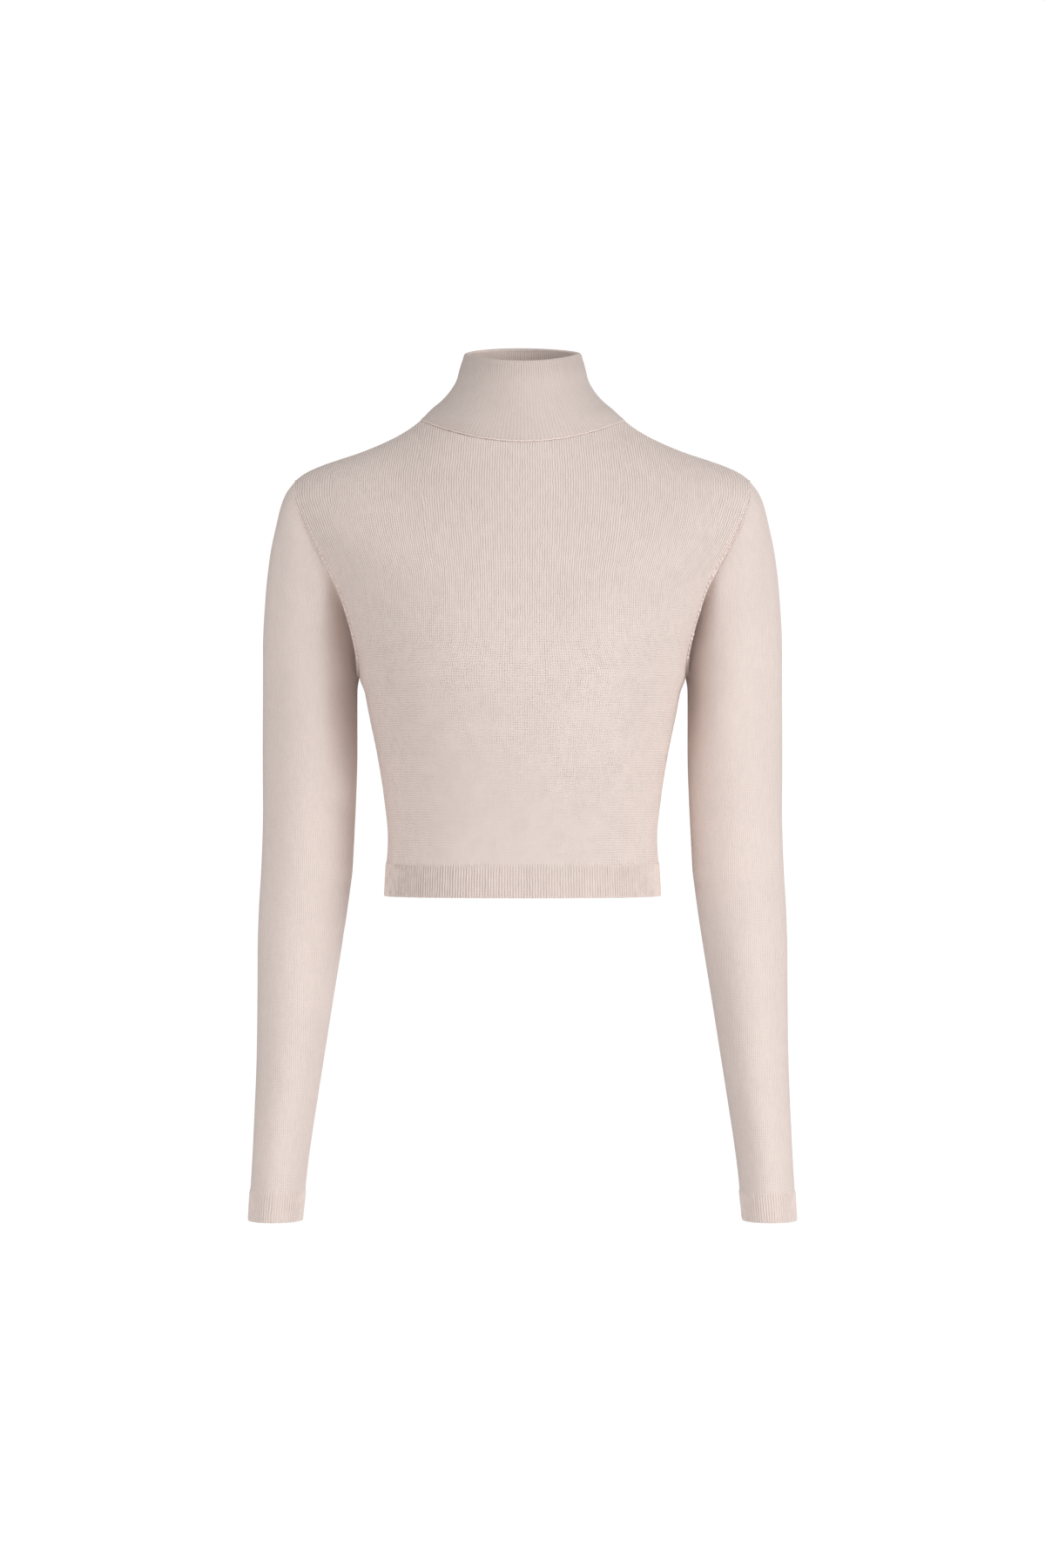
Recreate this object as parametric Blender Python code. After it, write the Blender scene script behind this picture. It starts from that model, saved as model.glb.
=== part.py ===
"""Cropped knit sweater with a mock neck, long set-in sleeves, and a rib hem and rib cuffs.

Five knitted pieces, each a thin closed wall, stand as they are when the sweater is worn: a front and a
back that meet at the side and shoulder seams, two sleeves set into the armholes, and a folded collar on
the neckline. +Z is up, -Y is the front, +X is the wearer's left. The origin lies between the side neck
points, where the shoulders carry the sweater. Lengths in the tables are millimetres.
"""

import math
from collections import namedtuple

import bmesh
import bpy
import numpy as np

MM = 0.001
OBJECT_NAME = "cropped_knit_sweater"

# Cloth
KNIT_THICKNESS = 1.6
COLLAR_THICKNESS = 2.6
RIB_HEIGHT = 0.6
SEAM_GAP = 0.3
SEAM_RELIEF = 0.5  # a wall's inner face stops this much shorter, so that walls may meet at an angle
KNIT_ROUGHNESS = 0.85

# Rib bands
HEM_RIB_PITCH = 2.5
HEM_BAND_HEIGHT = 25.0
CUFF_RIB_PITCH = 2.25
CUFF_BAND_HEIGHT = 23.0
BAND_FADE = 3.0  # height over which the ribs run out into the plain knit

# Neck and shoulders
NECK_HALF_WIDTH = 83.0
SHOULDER_HALF_WIDTH = 185.0
NECK_SHARE = NECK_HALF_WIDTH / SHOULDER_HALF_WIDTH
SHOULDER_TIP_HEIGHT = -46.0

# Armhole: a loop from the shoulder tip down to the underarm
UNDERARM_HEIGHT = -207.0
UNDERARM_HALF_WIDTH = 133.0
ARMHOLE_DEPTH_FRONT = 48.0
ARMHOLE_DEPTH_BACK = 50.0
ARMHOLE_MIDDLE = (SHOULDER_TIP_HEIGHT + UNDERARM_HEIGHT) / 2
ARMHOLE_RADIUS = (SHOULDER_TIP_HEIGHT - UNDERARM_HEIGHT) / 2

# Lower edges
HEM_HEIGHT = -385.5
CUFF_HEIGHT = -646.0
CUFF_TOP_HEIGHT = CUFF_HEIGHT + CUFF_BAND_HEIGHT

# Grid of the walls
NORMAL_STEP = 1e-4  # length of the steps that a surface direction is worked out from
LINE_POINTS = 401  # points that the length of a rib band is worked out from
SHARP_ANGLE = 40.0
NECK_COLUMNS = 6  # from the centre line to the side neck point
SHOULDER_COLUMNS = 8  # from there to the armhole or side seam
SIDE_ROWS = 7
# Degrees round the armhole from the underarm to its middle, and on to the shoulder tip
LOWER_ARMHOLE_TURNS = np.array((15.0, 30.0, 45.0, 60.0, 75.0, 90.0))
UPPER_ARMHOLE_TURNS = np.array((15.0, 30.0, 45.0, 60.0, 75.0, 83.0, 90.0))

BodyLevel = namedtuple("BodyLevel", "z half_width front back fullness")
BODY = (
    BodyLevel(HEM_HEIGHT, 113.0, 93.0, 87.0, 2.45),
    BodyLevel(-364.0, 112.3, 92.0, 84.5, 2.45),
    BodyLevel(-337.0, 110.0, 91.0, 82.0, 2.40),
    BodyLevel(-303.0, 113.3, 94.5, 82.5, 2.35),
    BodyLevel(-269.0, 118.7, 101.0, 85.0, 2.35),
    BodyLevel(-235.0, 125.7, 108.5, 88.5, 2.40),
    BodyLevel(-218.0, 129.0, 112.0, 90.5, 2.42),
    BodyLevel(UNDERARM_HEIGHT, UNDERARM_HALF_WIDTH, 113.8, 91.5, 2.45),
    BodyLevel(-180.0, 137.0, 116.0, 93.0, 2.48),
    BodyLevel(-155.0, 143.0, 114.5, 94.0, 2.40),
    BodyLevel(-126.5, 151.0, 108.5, 93.5, 2.15),
)

ArmholeLevel = namedtuple("ArmholeLevel", "z front back")
ARMHOLE = (
    ArmholeLevel(SHOULDER_TIP_HEIGHT, SHOULDER_HALF_WIDTH, SHOULDER_HALF_WIDTH),
    ArmholeLevel(-58.0, 185.0, 185.6),
    ArmholeLevel(-74.0, 180.0, 183.0),
    ArmholeLevel(-89.0, 174.0, 179.0),
    ArmholeLevel(-106.0, 165.0, 172.5),
    ArmholeLevel(-122.0, 155.5, 164.5),
    ArmholeLevel(-136.0, 148.6, 157.5),
    ArmholeLevel(-150.0, 143.8, 151.0),
    ArmholeLevel(-170.0, 138.0, 143.0),
    ArmholeLevel(-190.0, 133.8, 136.4),
    ArmholeLevel(-201.0, 133.0, 133.6),
    ArmholeLevel(UNDERARM_HEIGHT, UNDERARM_HALF_WIDTH, UNDERARM_HALF_WIDTH),
)

RidgePoint = namedtuple("RidgePoint", "x z")
SHOULDER_RIDGE = (
    RidgePoint(NECK_HALF_WIDTH, 3.2),
    RidgePoint(89.0, -1.6),
    RidgePoint(97.5, -7.2),
    RidgePoint(108.5, -13.1),
    RidgePoint(120.5, -18.5),
    RidgePoint(134.5, -24.0),
    RidgePoint(150.5, -29.3),
    RidgePoint(165.8, -34.8),
    RidgePoint(177.5, -40.4),
    RidgePoint(SHOULDER_HALF_WIDTH, SHOULDER_TIP_HEIGHT),
)

# Roundness of the slope from the chest up to the shoulder line: 1 is straight, 2 is an ellipse.
Slope = namedtuple("Slope", "across front back")
SLOPES = (
    Slope(0.00, 1.42, 1.95),
    Slope(0.45, 1.40, 1.90),
    Slope(1.00, 2.00, 2.00),
)

SleeveRing = namedtuple("SleeveRing", "outer_z inner_z front back centre_y set_in")
SLEEVE = (
    SleeveRing(SHOULDER_TIP_HEIGHT, UNDERARM_HEIGHT, ARMHOLE_DEPTH_FRONT, ARMHOLE_DEPTH_BACK, 0.0, 1.00),
    SleeveRing(-53.0, -209.0, 48.6, 50.4, 0.0, 0.86),
    SleeveRing(-64.0, -211.5, 49.0, 50.6, 0.0, 0.70),
    SleeveRing(-80.0, -214.5, 49.2, 50.4, 0.0, 0.50),
    SleeveRing(-100.0, -218.5, 49.2, 50.0, 0.0, 0.32),
    SleeveRing(-124.0, -224.0, 49.0, 49.4, 0.0, 0.16),
    SleeveRing(-150.0, -232.0, 48.6, 48.6, 0.0, 0.06),
    SleeveRing(-179.0, -243.0, 48.0, 47.6, 0.4, 0.00),
    SleeveRing(-210.0, -258.0, 47.0, 46.4, 0.8, 0.00),
    SleeveRing(-243.0, -277.0, 45.6, 45.0, 1.2, 0.00),
    SleeveRing(-277.0, -300.0, 43.8, 43.4, 1.6, 0.00),
    SleeveRing(-311.0, -325.0, 41.6, 41.4, 2.0, 0.00),
    SleeveRing(-344.0, -350.0, 39.6, 39.6, 1.6, 0.00),
    SleeveRing(-376.0, -376.0, 38.0, 38.0, 0.0, 0.00),
    SleeveRing(-410.0, -408.0, 36.6, 36.6, -2.6, 0.00),
    SleeveRing(-450.0, -447.0, 35.0, 35.0, -6.4, 0.00),
    SleeveRing(-492.0, -489.0, 33.4, 33.4, -10.6, 0.00),
    SleeveRing(-534.0, -532.0, 31.8, 31.8, -14.6, 0.00),
    SleeveRing(-578.0, -577.0, 30.2, 30.2, -18.4, 0.00),
    SleeveRing(CUFF_TOP_HEIGHT, CUFF_TOP_HEIGHT, 28.8, 28.8, -21.6, 0.00),
    SleeveRing(CUFF_HEIGHT, CUFF_HEIGHT, 28.5, 28.5, -23.0, 0.00),
)

EdgePoint = namedtuple("EdgePoint", "z x")
SLEEVE_OUTER_EDGE = (
    EdgePoint(SHOULDER_TIP_HEIGHT, SHOULDER_HALF_WIDTH),
    EdgePoint(-56.0, 192.4),
    EdgePoint(-65.0, 196.3),
    EdgePoint(-82.0, 200.6),
    EdgePoint(-107.0, 205.7),
    EdgePoint(-141.0, 209.4),
    EdgePoint(-184.0, 211.7),
    EdgePoint(-314.0, 211.8),
    EdgePoint(-363.0, 213.1),
    EdgePoint(-397.0, 214.8),
    EdgePoint(-431.0, 215.7),
    EdgePoint(-508.0, 215.8),
    EdgePoint(-576.0, 218.2),
    EdgePoint(-627.0, 220.8),
    EdgePoint(CUFF_HEIGHT, 221.9),
)
SLEEVE_INNER_EDGE = (
    EdgePoint(UNDERARM_HEIGHT, UNDERARM_HALF_WIDTH),
    EdgePoint(-218.0, 134.3),
    EdgePoint(-269.0, 134.4),
    EdgePoint(-303.0, 135.4),
    EdgePoint(-346.0, 137.4),
    EdgePoint(-363.0, 138.3),
    EdgePoint(-380.0, 140.4),
    EdgePoint(-414.0, 145.2),
    EdgePoint(-482.0, 155.8),
    EdgePoint(-550.0, 166.4),
    EdgePoint(-601.0, 173.6),
    EdgePoint(CUFF_HEIGHT, 178.4),
)

CollarRing = namedtuple("CollarRing", "half_width front back side_z front_z back_z bend inset")
COLLAR = (
    CollarRing(NECK_HALF_WIDTH, 56.0, 60.0, 3.2, -18.0, 5.0, 1.35, 0.0),
    CollarRing(74.2, 54.6, 56.6, 12.0, -7.0, 15.0, 1.30, 0.0),
    CollarRing(65.2, 53.4, 53.2, 19.6, 4.0, 25.0, 1.25, 0.0),
    CollarRing(58.4, 52.6, 49.8, 27.6, 15.0, 35.0, 1.20, 0.0),
    CollarRing(53.6, 52.2, 46.4, 36.2, 25.5, 45.5, 1.10, 0.0),
    CollarRing(51.4, 52.0, 43.0, 44.8, 36.0, 56.0, 1.05, 0.0),
    CollarRing(49.0, 51.8, 39.8, 53.4, 44.6, 64.4, 1.00, 0.0),
    CollarRing(47.6, 51.4, 38.6, 57.6, 47.4, 67.2, 1.00, COLLAR_THICKNESS / 2),
)


def read_table(table, key, column, at):
    """A column of a table between its rows, on a smooth curve that never overshoots them.

    The key is another column, or "row" for the rows' own numbers from 0.
    """
    keys = np.array([i if key == "row" else getattr(row, key) for i, row in enumerate(table)], float)
    values = np.array([getattr(row, column) for row in table], float)
    order = np.argsort(keys)
    keys, values = keys[order], values[order]
    step = np.diff(keys)
    slope = np.diff(values) / step
    same_way = slope[:-1] * slope[1:] > 0
    safe = np.where(same_way, slope[:-1], 1.0), np.where(same_way, slope[1:], 1.0)
    before = 2 * step[1:] + step[:-1]
    after = step[1:] + 2 * step[:-1]
    mean = (before + after) / (before / safe[0] + after / safe[1])
    tangent = np.concatenate(([slope[0]], np.where(same_way, mean, 0.0), [slope[-1]]))
    at = np.clip(np.asarray(at, float), keys[0], keys[-1])
    k = np.clip(np.searchsorted(keys, at) - 1, 0, len(step) - 1)
    t = (at - keys[k]) / step[k]
    return (
        values[k] * (1 + 2 * t) * (1 - t) ** 2
        + values[k + 1] * t**2 * (3 - 2 * t)
        + tangent[k] * step[k] * t * (1 - t) ** 2
        - tangent[k + 1] * step[k] * t**2 * (1 - t)
    )


def unit(vectors):
    return vectors / np.linalg.norm(vectors, axis=-1, keepdims=True)


def column_fractions():
    """Places across a panel from one side edge (-1) to the other (1), closer where the cloth turns."""
    inner = NECK_SHARE * np.sin(np.linspace(0, math.pi / 2, NECK_COLUMNS + 1))
    outer = NECK_SHARE + (1 - NECK_SHARE) * np.sin(np.linspace(0, math.pi / 2, SHOULDER_COLUMNS + 1))
    half = np.concatenate((inner, outer[1:]))
    return np.concatenate((-half[:0:-1], half))


def armhole_edge(side, angle):
    """The armhole seam's half-width, depth and height, at an angle from the shoulder tip to the underarm."""
    z = ARMHOLE_MIDDLE + ARMHOLE_RADIUS * np.cos(angle)
    widest = ARMHOLE_DEPTH_FRONT if side == "front" else ARMHOLE_DEPTH_BACK
    return read_table(ARMHOLE, "z", side, z), widest * np.sin(angle), z


def neckline(side, across):
    """Depth and height of the neckline at a place across the panel. Past its end they are the shoulder's."""
    along = np.clip(np.abs(across) / NECK_SHARE, 0, 1)
    slope = read_table(SLOPES, "across", side, np.abs(across))
    forward = (1 - along**2) ** (1 / slope)
    base = COLLAR[0]
    deepest = base.front if side == "front" else base.back
    drop = (base.front_z if side == "front" else base.back_z) - base.side_z
    ridge = read_table(SHOULDER_RIDGE, "x", "z", np.abs(across) * SHOULDER_HALF_WIDTH)
    return deepest * forward, np.where(along < 1, base.side_z + drop * forward**base.bend, ridge)


def body_section(side, edge_z, edge_x, edge_depth, across):
    """Depth of the body across one level, on a superellipse that passes through the level's edge points."""
    middle = read_table(BODY, "z", side, edge_z)
    fullness = read_table(BODY, "z", "fullness", edge_z)
    whole = edge_x / (1 - (edge_depth / middle) ** fullness) ** (1 / fullness)
    return middle * np.clip(1 - np.abs(across * edge_x / whole) ** fullness, 0, 1) ** (1 / fullness)


def panel_stop(side, across):
    """How far up a column of the panel goes: 2 at the shoulder seam, less where the neckline stops it."""
    chest = body_section(side, *chest_edge(side), across)
    depth, _ = neckline(side, across)
    slope = read_table(SLOPES, "across", side, np.abs(across))
    return 2 - np.arcsin((depth / chest) ** (slope / 2)) / math.pi


def chest_edge(side):
    """Height, half-width and depth of the armhole at its middle, where the cloth starts to round over."""
    x, depth, z = armhole_edge(side, np.array(math.pi / 2))
    return z, x, depth


def panel_point(side, way_up, across):
    """A point of the smooth form that a panel lies on, in millimetres.

    way_up runs from 0 at the hem to 1 at the underarm, 1.5 at the middle of the armhole and 2 at the
    shoulder line. across runs from -1 to 1, between the two side edges.
    """
    way_up, across = np.broadcast_arrays(np.asarray(way_up, float), np.asarray(across, float))
    angle = np.clip(2 - way_up, 0, 1) * math.pi
    edge_x, edge_depth, edge_z = armhole_edge(side, angle)
    seam_z = HEM_HEIGHT + (UNDERARM_HEIGHT - HEM_HEIGHT) * np.clip(way_up, 0, 1)
    on_seam = way_up < 1
    edge_x = np.where(on_seam, read_table(BODY, "z", "half_width", seam_z), edge_x)
    edge_z = np.where(on_seam, seam_z, edge_z)
    edge_depth = np.where(on_seam, 0.0, edge_depth)

    chest = chest_edge(side)
    rounding = way_up > 1.5
    level_depth = body_section(
        side,
        np.where(rounding, chest[0], edge_z),
        np.where(rounding, chest[1], edge_x),
        np.where(rounding, chest[2], edge_depth),
        across,
    )

    # Above the middle of the armhole the cloth rounds over to the shoulder line, a quarter of a
    # superellipse at each place across. The arc's height is such that the neckline lies on it.
    stop_depth, stop_z = neckline(side, across)
    slope = read_table(SLOPES, "across", side, np.abs(across))
    left_over = 1 - (stop_depth / body_section(side, *chest, across)) ** slope
    crest = (stop_z - ARMHOLE_MIDDLE) / left_over ** (1 / slope)
    arc = np.clip(angle, 0, math.pi / 2)
    depth = np.where(rounding, level_depth * np.sin(arc) ** (2 / slope), level_depth)
    z = np.where(rounding, ARMHOLE_MIDDLE + crest * np.clip(np.cos(arc), 0, 1) ** (2 / slope), edge_z)

    facing = -1 if side == "front" else 1
    return np.stack((-facing * across * edge_x, facing * depth, z), axis=-1)


def panel_normal(side, way_up, across):
    """The outward direction of a panel, from two short steps along it."""
    step = NORMAL_STEP
    way_up, across = np.broadcast_arrays(np.asarray(way_up, float), np.asarray(across, float))
    low, high = np.clip(way_up - step, 0, 2), np.clip(way_up + step, 0, 2)
    left, right = np.clip(across - step, -1, 1), np.clip(across + step, -1, 1)
    up = panel_point(side, high, across) - panel_point(side, low, across)
    over = panel_point(side, way_up, right) - panel_point(side, way_up, left)
    return unit(np.cross(over, up))


def panel_rows(side, columns):
    """way_up at each point of each row above the rib band: up the side seam, then round the armhole."""
    first = (HEM_BAND_HEIGHT + BAND_FADE) / (UNDERARM_HEIGHT - HEM_HEIGHT)
    level_rows = np.concatenate((np.linspace(first, 1, SIDE_ROWS + 1), 1 + LOWER_ARMHOLE_TURNS / 180))
    rows = [np.full(len(columns), row) for row in level_rows]
    stop = panel_stop(side, columns)
    return rows + [1.5 + (stop - 1.5) * share for share in UPPER_ARMHOLE_TURNS / 90]


def rib_steps(length, pitch):
    """Fractions along a band with two points for each rib, and how far out each point stands."""
    ribs = int(round(length / pitch))
    steps = np.linspace(0, 1, 2 * ribs + 1)
    raised = np.where(np.arange(2 * ribs + 1) % 2 == 1, RIB_HEIGHT, 0.0)
    return steps, raised


def run_lengths(points):
    """Length along a line of points, up to each of them."""
    return np.concatenate(([0], np.cumsum(np.linalg.norm(np.diff(points, axis=0), axis=1))))


def shares(points):
    """Fractions of the length along a line of points, at each of them."""
    lengths = run_lengths(np.array(points))
    return lengths / lengths[-1]


def pull_in(skin, edge, distance):
    """Move the first row, the last row or both sides of a skin towards what is next to them."""
    if edge in ("first_row", "last_row"):
        edge_row, next_row = (0, 1) if edge == "first_row" else (-1, -2)
        skin[edge_row] = skin[edge_row] + distance * unit(skin[next_row] - skin[edge_row])
        return
    for row in skin:
        for end, beside in ((0, 1), (-1, -2)):
            row[end] = row[end] + distance * unit(row[beside] - row[end])


class Wall:
    """A closed wall of cloth, lofted between an outer and an inner skin whose sections are unlike."""

    def __init__(self, name, closed_round):
        self.name = name
        self.closed_round = closed_round
        self.mesh = bmesh.new()

    def add_rows(self, rows):
        return [[self.mesh.verts.new(point * MM) for point in row] for row in rows]

    def strip(self, low, high):
        """Faces between two lines of points, in quads where they have as many, in triangles where not."""
        if self.closed_round:
            low, high = low + low[:1], high + high[:1]
        if len(low) == len(high):
            for i in range(len(low) - 1):
                self.mesh.faces.new((low[i], low[i + 1], high[i + 1], high[i]))
            return
        low_at, high_at = shares([vert.co for vert in low]), shares([vert.co for vert in high])
        i = j = 0
        while i < len(low) - 1 or j < len(high) - 1:
            if j == len(high) - 1 or (i < len(low) - 1 and low_at[i + 1] <= high_at[j + 1]):
                self.mesh.faces.new((low[i], low[i + 1], high[j]))
                i += 1
            else:
                self.mesh.faces.new((low[i], high[j + 1], high[j]))
                j += 1

    def build(self, outer, inner, material, collection):
        outer, inner = self.add_rows(outer), self.add_rows(inner)
        for skin in (outer, inner):
            for low, high in zip(skin, skin[1:]):
                self.strip(low, high)
        self.strip(outer[0], inner[0])
        self.strip(outer[-1], inner[-1])
        if not self.closed_round:
            for end in (0, -1):
                self.strip([row[end] for row in outer], [row[end] for row in inner])
        bmesh.ops.recalc_face_normals(self.mesh, faces=self.mesh.faces)
        if self.mesh.calc_volume(signed=True) < 0:
            bmesh.ops.reverse_faces(self.mesh, faces=self.mesh.faces)
        data = bpy.data.meshes.new(self.name)
        self.mesh.to_mesh(data)
        self.mesh.free()
        data.materials.append(material)
        data.shade_smooth()
        data.set_sharp_from_angle(angle=math.radians(SHARP_ANGLE))
        piece = bpy.data.objects.new(self.name, data)
        collection.objects.link(piece)
        return piece


def knit_material(name, colour):
    """Plain matt yarn in one colour."""
    material = bpy.data.materials.new(name)
    material.use_nodes = True
    shader = material.node_tree.nodes["Principled BSDF"]
    shader.inputs["Base Color"].default_value = (*colour, 1.0)
    shader.inputs["Roughness"].default_value = KNIT_ROUGHNESS
    shader.inputs["Metallic"].default_value = 0.0
    material.diffuse_color = (*colour, 1.0)
    return material


def make_panel(side, colour, collection):
    """The front or the back, from its rib hem to the neckline and shoulder seams."""
    columns = column_fractions()
    rows = panel_rows(side, columns)
    plain = [panel_point(side, row, columns) for row in rows]

    # The rib band: outer points two to a rib, raised in turn.
    sweep = np.linspace(-1, 1, LINE_POINTS)
    hem_line = panel_point(side, 0.0, sweep)
    steps, raised = rib_steps(run_lengths(hem_line)[-1], HEM_RIB_PITCH)
    across = np.interp(steps, shares(hem_line), sweep)
    band_top = HEM_BAND_HEIGHT / (UNDERARM_HEIGHT - HEM_HEIGHT)
    band = [
        panel_point(side, row, across) + raised[:, None] * panel_normal(side, row, across)
        for row in (0.0, band_top)
    ]
    outer = band + plain
    rows = [np.zeros(len(columns))] + rows
    inner = [
        panel_point(side, row, columns) - KNIT_THICKNESS * panel_normal(side, row, columns)
        for row in rows
    ]

    for skin, distance in ((outer, SEAM_GAP / 2), (inner, SEAM_GAP / 2 + SEAM_RELIEF)):
        pull_in(skin, "sides", distance)
        pull_in(skin, "last_row", distance)
    material = knit_material(f"{side}_knit", colour)
    return Wall(f"{side}_panel", closed_round=False).build(outer, inner, material, collection)


def sleeve_point(ring, turn):
    """A point of the left sleeve's outer face. ring counts down from the armhole, turn goes once round."""
    ring, turn = np.broadcast_arrays(np.asarray(ring, float), np.asarray(turn, float))
    outer_z = read_table(SLEEVE, "row", "outer_z", ring)
    inner_z = read_table(SLEEVE, "row", "inner_z", ring)
    outer_x = read_table(SLEEVE_OUTER_EDGE, "z", "x", outer_z)
    inner_x = read_table(SLEEVE_INNER_EDGE, "z", "x", inner_z)
    angle = turn * 2 * math.pi
    towards_inner = (1 - np.cos(angle)) / 2
    x = outer_x + (inner_x - outer_x) * towards_inner
    z = outer_z + (inner_z - outer_z) * towards_inner
    at_back = np.sin(angle) > 0
    depth = np.where(
        at_back, read_table(SLEEVE, "row", "back", ring), read_table(SLEEVE, "row", "front", ring)
    )
    y = read_table(SLEEVE, "row", "centre_y", ring) + depth * np.sin(angle)

    # At the armhole the ring follows the panels' edges, and further down it forgets them.
    seam_x = np.where(at_back, armhole_edge("back", angle)[0], armhole_edge("front", angle)[0])
    straight = SHOULDER_HALF_WIDTH + (UNDERARM_HALF_WIDTH - SHOULDER_HALF_WIDTH) * towards_inner
    x = x + read_table(SLEEVE, "row", "set_in", ring) * (seam_x - straight)
    return np.stack((x, y, z), axis=-1)


def sleeve_normal(ring, turn):
    """The outward direction of the left sleeve."""
    step = NORMAL_STEP
    last = len(SLEEVE) - 1
    ring, turn = np.broadcast_arrays(np.asarray(ring, float), np.asarray(turn, float))
    down = sleeve_point(np.clip(ring + step, 0, last), turn)
    up = sleeve_point(np.clip(ring - step, 0, last), turn)
    round_it = sleeve_point(ring, turn + step) - sleeve_point(ring, turn - step)
    return unit(np.cross(round_it, up - down))


def make_sleeve(name, mirrored, colour, collection):
    """A sleeve from its rib cuff up to the armhole. The right one is the left one mirrored."""
    last = len(SLEEVE) - 1
    half_round = np.concatenate(([0.0], LOWER_ARMHOLE_TURNS, 90 + UPPER_ARMHOLE_TURNS)) / 360
    turns = np.concatenate((0.5 - half_round[::-1], 0.5 + half_round[1:-1]))
    band_ring = last - 1
    rings = list(range(band_ring, -1, -1))
    plain = [sleeve_point(ring, turns) for ring in rings]
    inward = [sleeve_normal(ring, turns) for ring in rings]

    sweep = np.linspace(0, 1, LINE_POINTS)
    cuff_line = sleeve_point(last, sweep)
    steps, raised = rib_steps(run_lengths(cuff_line)[-1], CUFF_RIB_PITCH)
    around, raised = np.interp(steps, shares(cuff_line), sweep)[:-1], raised[:-1]
    fade = BAND_FADE / (SLEEVE[-2].outer_z - SLEEVE[-1].outer_z)
    band = [
        sleeve_point(ring, around) + raised[:, None] * sleeve_normal(ring, around)
        for ring in (last, band_ring + fade)
    ]
    outer = band + plain
    inner = [sleeve_point(last, turns) - KNIT_THICKNESS * sleeve_normal(last, turns)]
    inner += [point - KNIT_THICKNESS * normal for point, normal in zip(plain, inward)]
    pull_in(outer, "last_row", SEAM_GAP / 2)
    pull_in(inner, "last_row", SEAM_GAP / 2 + SEAM_RELIEF)
    if mirrored:
        flip = np.array((-1.0, 1.0, 1.0))
        outer = [row * flip for row in outer]
        inner = [row * flip for row in inner]
    material = knit_material(f"{name}_knit", colour)
    return Wall(name, closed_round=True).build(outer, inner, material, collection)


def collar_rows():
    """The collar's rings of points, from the panels' own neckline up to the rim."""
    quarter = np.linspace(0, math.pi / 2, NECK_COLUMNS + 1)[:-1]
    angles = np.concatenate([quarter + i * math.pi / 2 for i in range(4)])
    forward = np.cos(angles)
    at_front = forward > 0
    across = NECK_SHARE * np.sin(angles)
    front_line = panel_point("front", panel_stop("front", across), across)
    back_line = panel_point("back", panel_stop("back", across), -across)
    rows = [np.where(at_front[:, None], front_line, back_line)]
    for ring in COLLAR[1:]:
        drop = np.where(at_front, ring.front_z, ring.back_z) - ring.side_z
        x = np.sin(angles) * ring.half_width
        y = -forward * np.where(at_front, ring.front, ring.back)
        z = ring.side_z + drop * np.abs(forward) ** ring.bend
        rows.append(np.stack((x, y, z), axis=-1))
    return rows


def collar_outward(rows):
    """Outward directions of the collar's rings, from the neighbours of each point."""
    grid = np.array(rows)
    round_it = np.roll(grid, -1, axis=1) - np.roll(grid, 1, axis=1)
    up = np.gradient(grid, axis=0)
    return unit(np.cross(round_it, up))


def make_collar(colour, collection):
    """The mock neck: a double layer, folded at the rim and linked to the neckline."""
    rows = collar_rows()
    outward = collar_outward(rows)
    outer = [row - ring.inset * out for row, ring, out in zip(rows, COLLAR, outward)]
    inner = [row - COLLAR_THICKNESS * out for row, out in zip(rows, outward)][:-1]
    pull_in(outer, "first_row", SEAM_GAP / 2)
    pull_in(inner, "first_row", SEAM_GAP / 2 + SEAM_RELIEF)
    material = knit_material("collar_knit", colour)
    return Wall("collar", closed_round=True).build(outer, inner, material, collection)


for old in list(bpy.data.objects):
    bpy.data.objects.remove(old, do_unlink=True)
garment = bpy.data.collections.new(OBJECT_NAME)
bpy.context.scene.collection.children.link(garment)

PANEL_COLOUR = (0.68, 0.57, 0.52)
SLEEVE_COLOUR = (0.70, 0.59, 0.54)
COLLAR_COLOUR = (0.64, 0.53, 0.48)
make_panel("front", PANEL_COLOUR, garment)
make_panel("back", PANEL_COLOUR, garment)
make_sleeve("sleeve_left", False, SLEEVE_COLOUR, garment)
make_sleeve("sleeve_right", True, SLEEVE_COLOUR, garment)
make_collar(COLLAR_COLOUR, garment)
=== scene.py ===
import math
from collections import namedtuple

import bmesh
import bpy
import numpy as np
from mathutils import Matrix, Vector


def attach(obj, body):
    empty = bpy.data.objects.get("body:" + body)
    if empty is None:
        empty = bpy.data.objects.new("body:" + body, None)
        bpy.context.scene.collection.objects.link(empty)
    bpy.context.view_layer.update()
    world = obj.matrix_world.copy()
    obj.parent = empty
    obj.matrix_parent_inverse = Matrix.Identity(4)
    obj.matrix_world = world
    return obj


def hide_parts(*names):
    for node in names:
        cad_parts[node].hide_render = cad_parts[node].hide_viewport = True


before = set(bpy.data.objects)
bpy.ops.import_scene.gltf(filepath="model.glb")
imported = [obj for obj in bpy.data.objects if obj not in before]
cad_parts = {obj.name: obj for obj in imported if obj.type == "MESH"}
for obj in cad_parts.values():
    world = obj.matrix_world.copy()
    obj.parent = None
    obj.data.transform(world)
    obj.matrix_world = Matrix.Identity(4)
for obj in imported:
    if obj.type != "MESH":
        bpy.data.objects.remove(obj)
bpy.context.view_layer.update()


# ---------------------------------------------------------------------------------------------------------
# Camera
# A long lens, level with the middle of the sweater and straight in front of it, so that both sleeves show
# alike. The picture's long side spans a little over a metre and a quarter there.
CAMERA_DISTANCE = 3.6
PICTURE_HEIGHT = 1.278  # metres that the picture's long side spans at the sweater's middle
AIM_HEIGHT = -0.2932
SENSOR = 36.0

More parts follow.
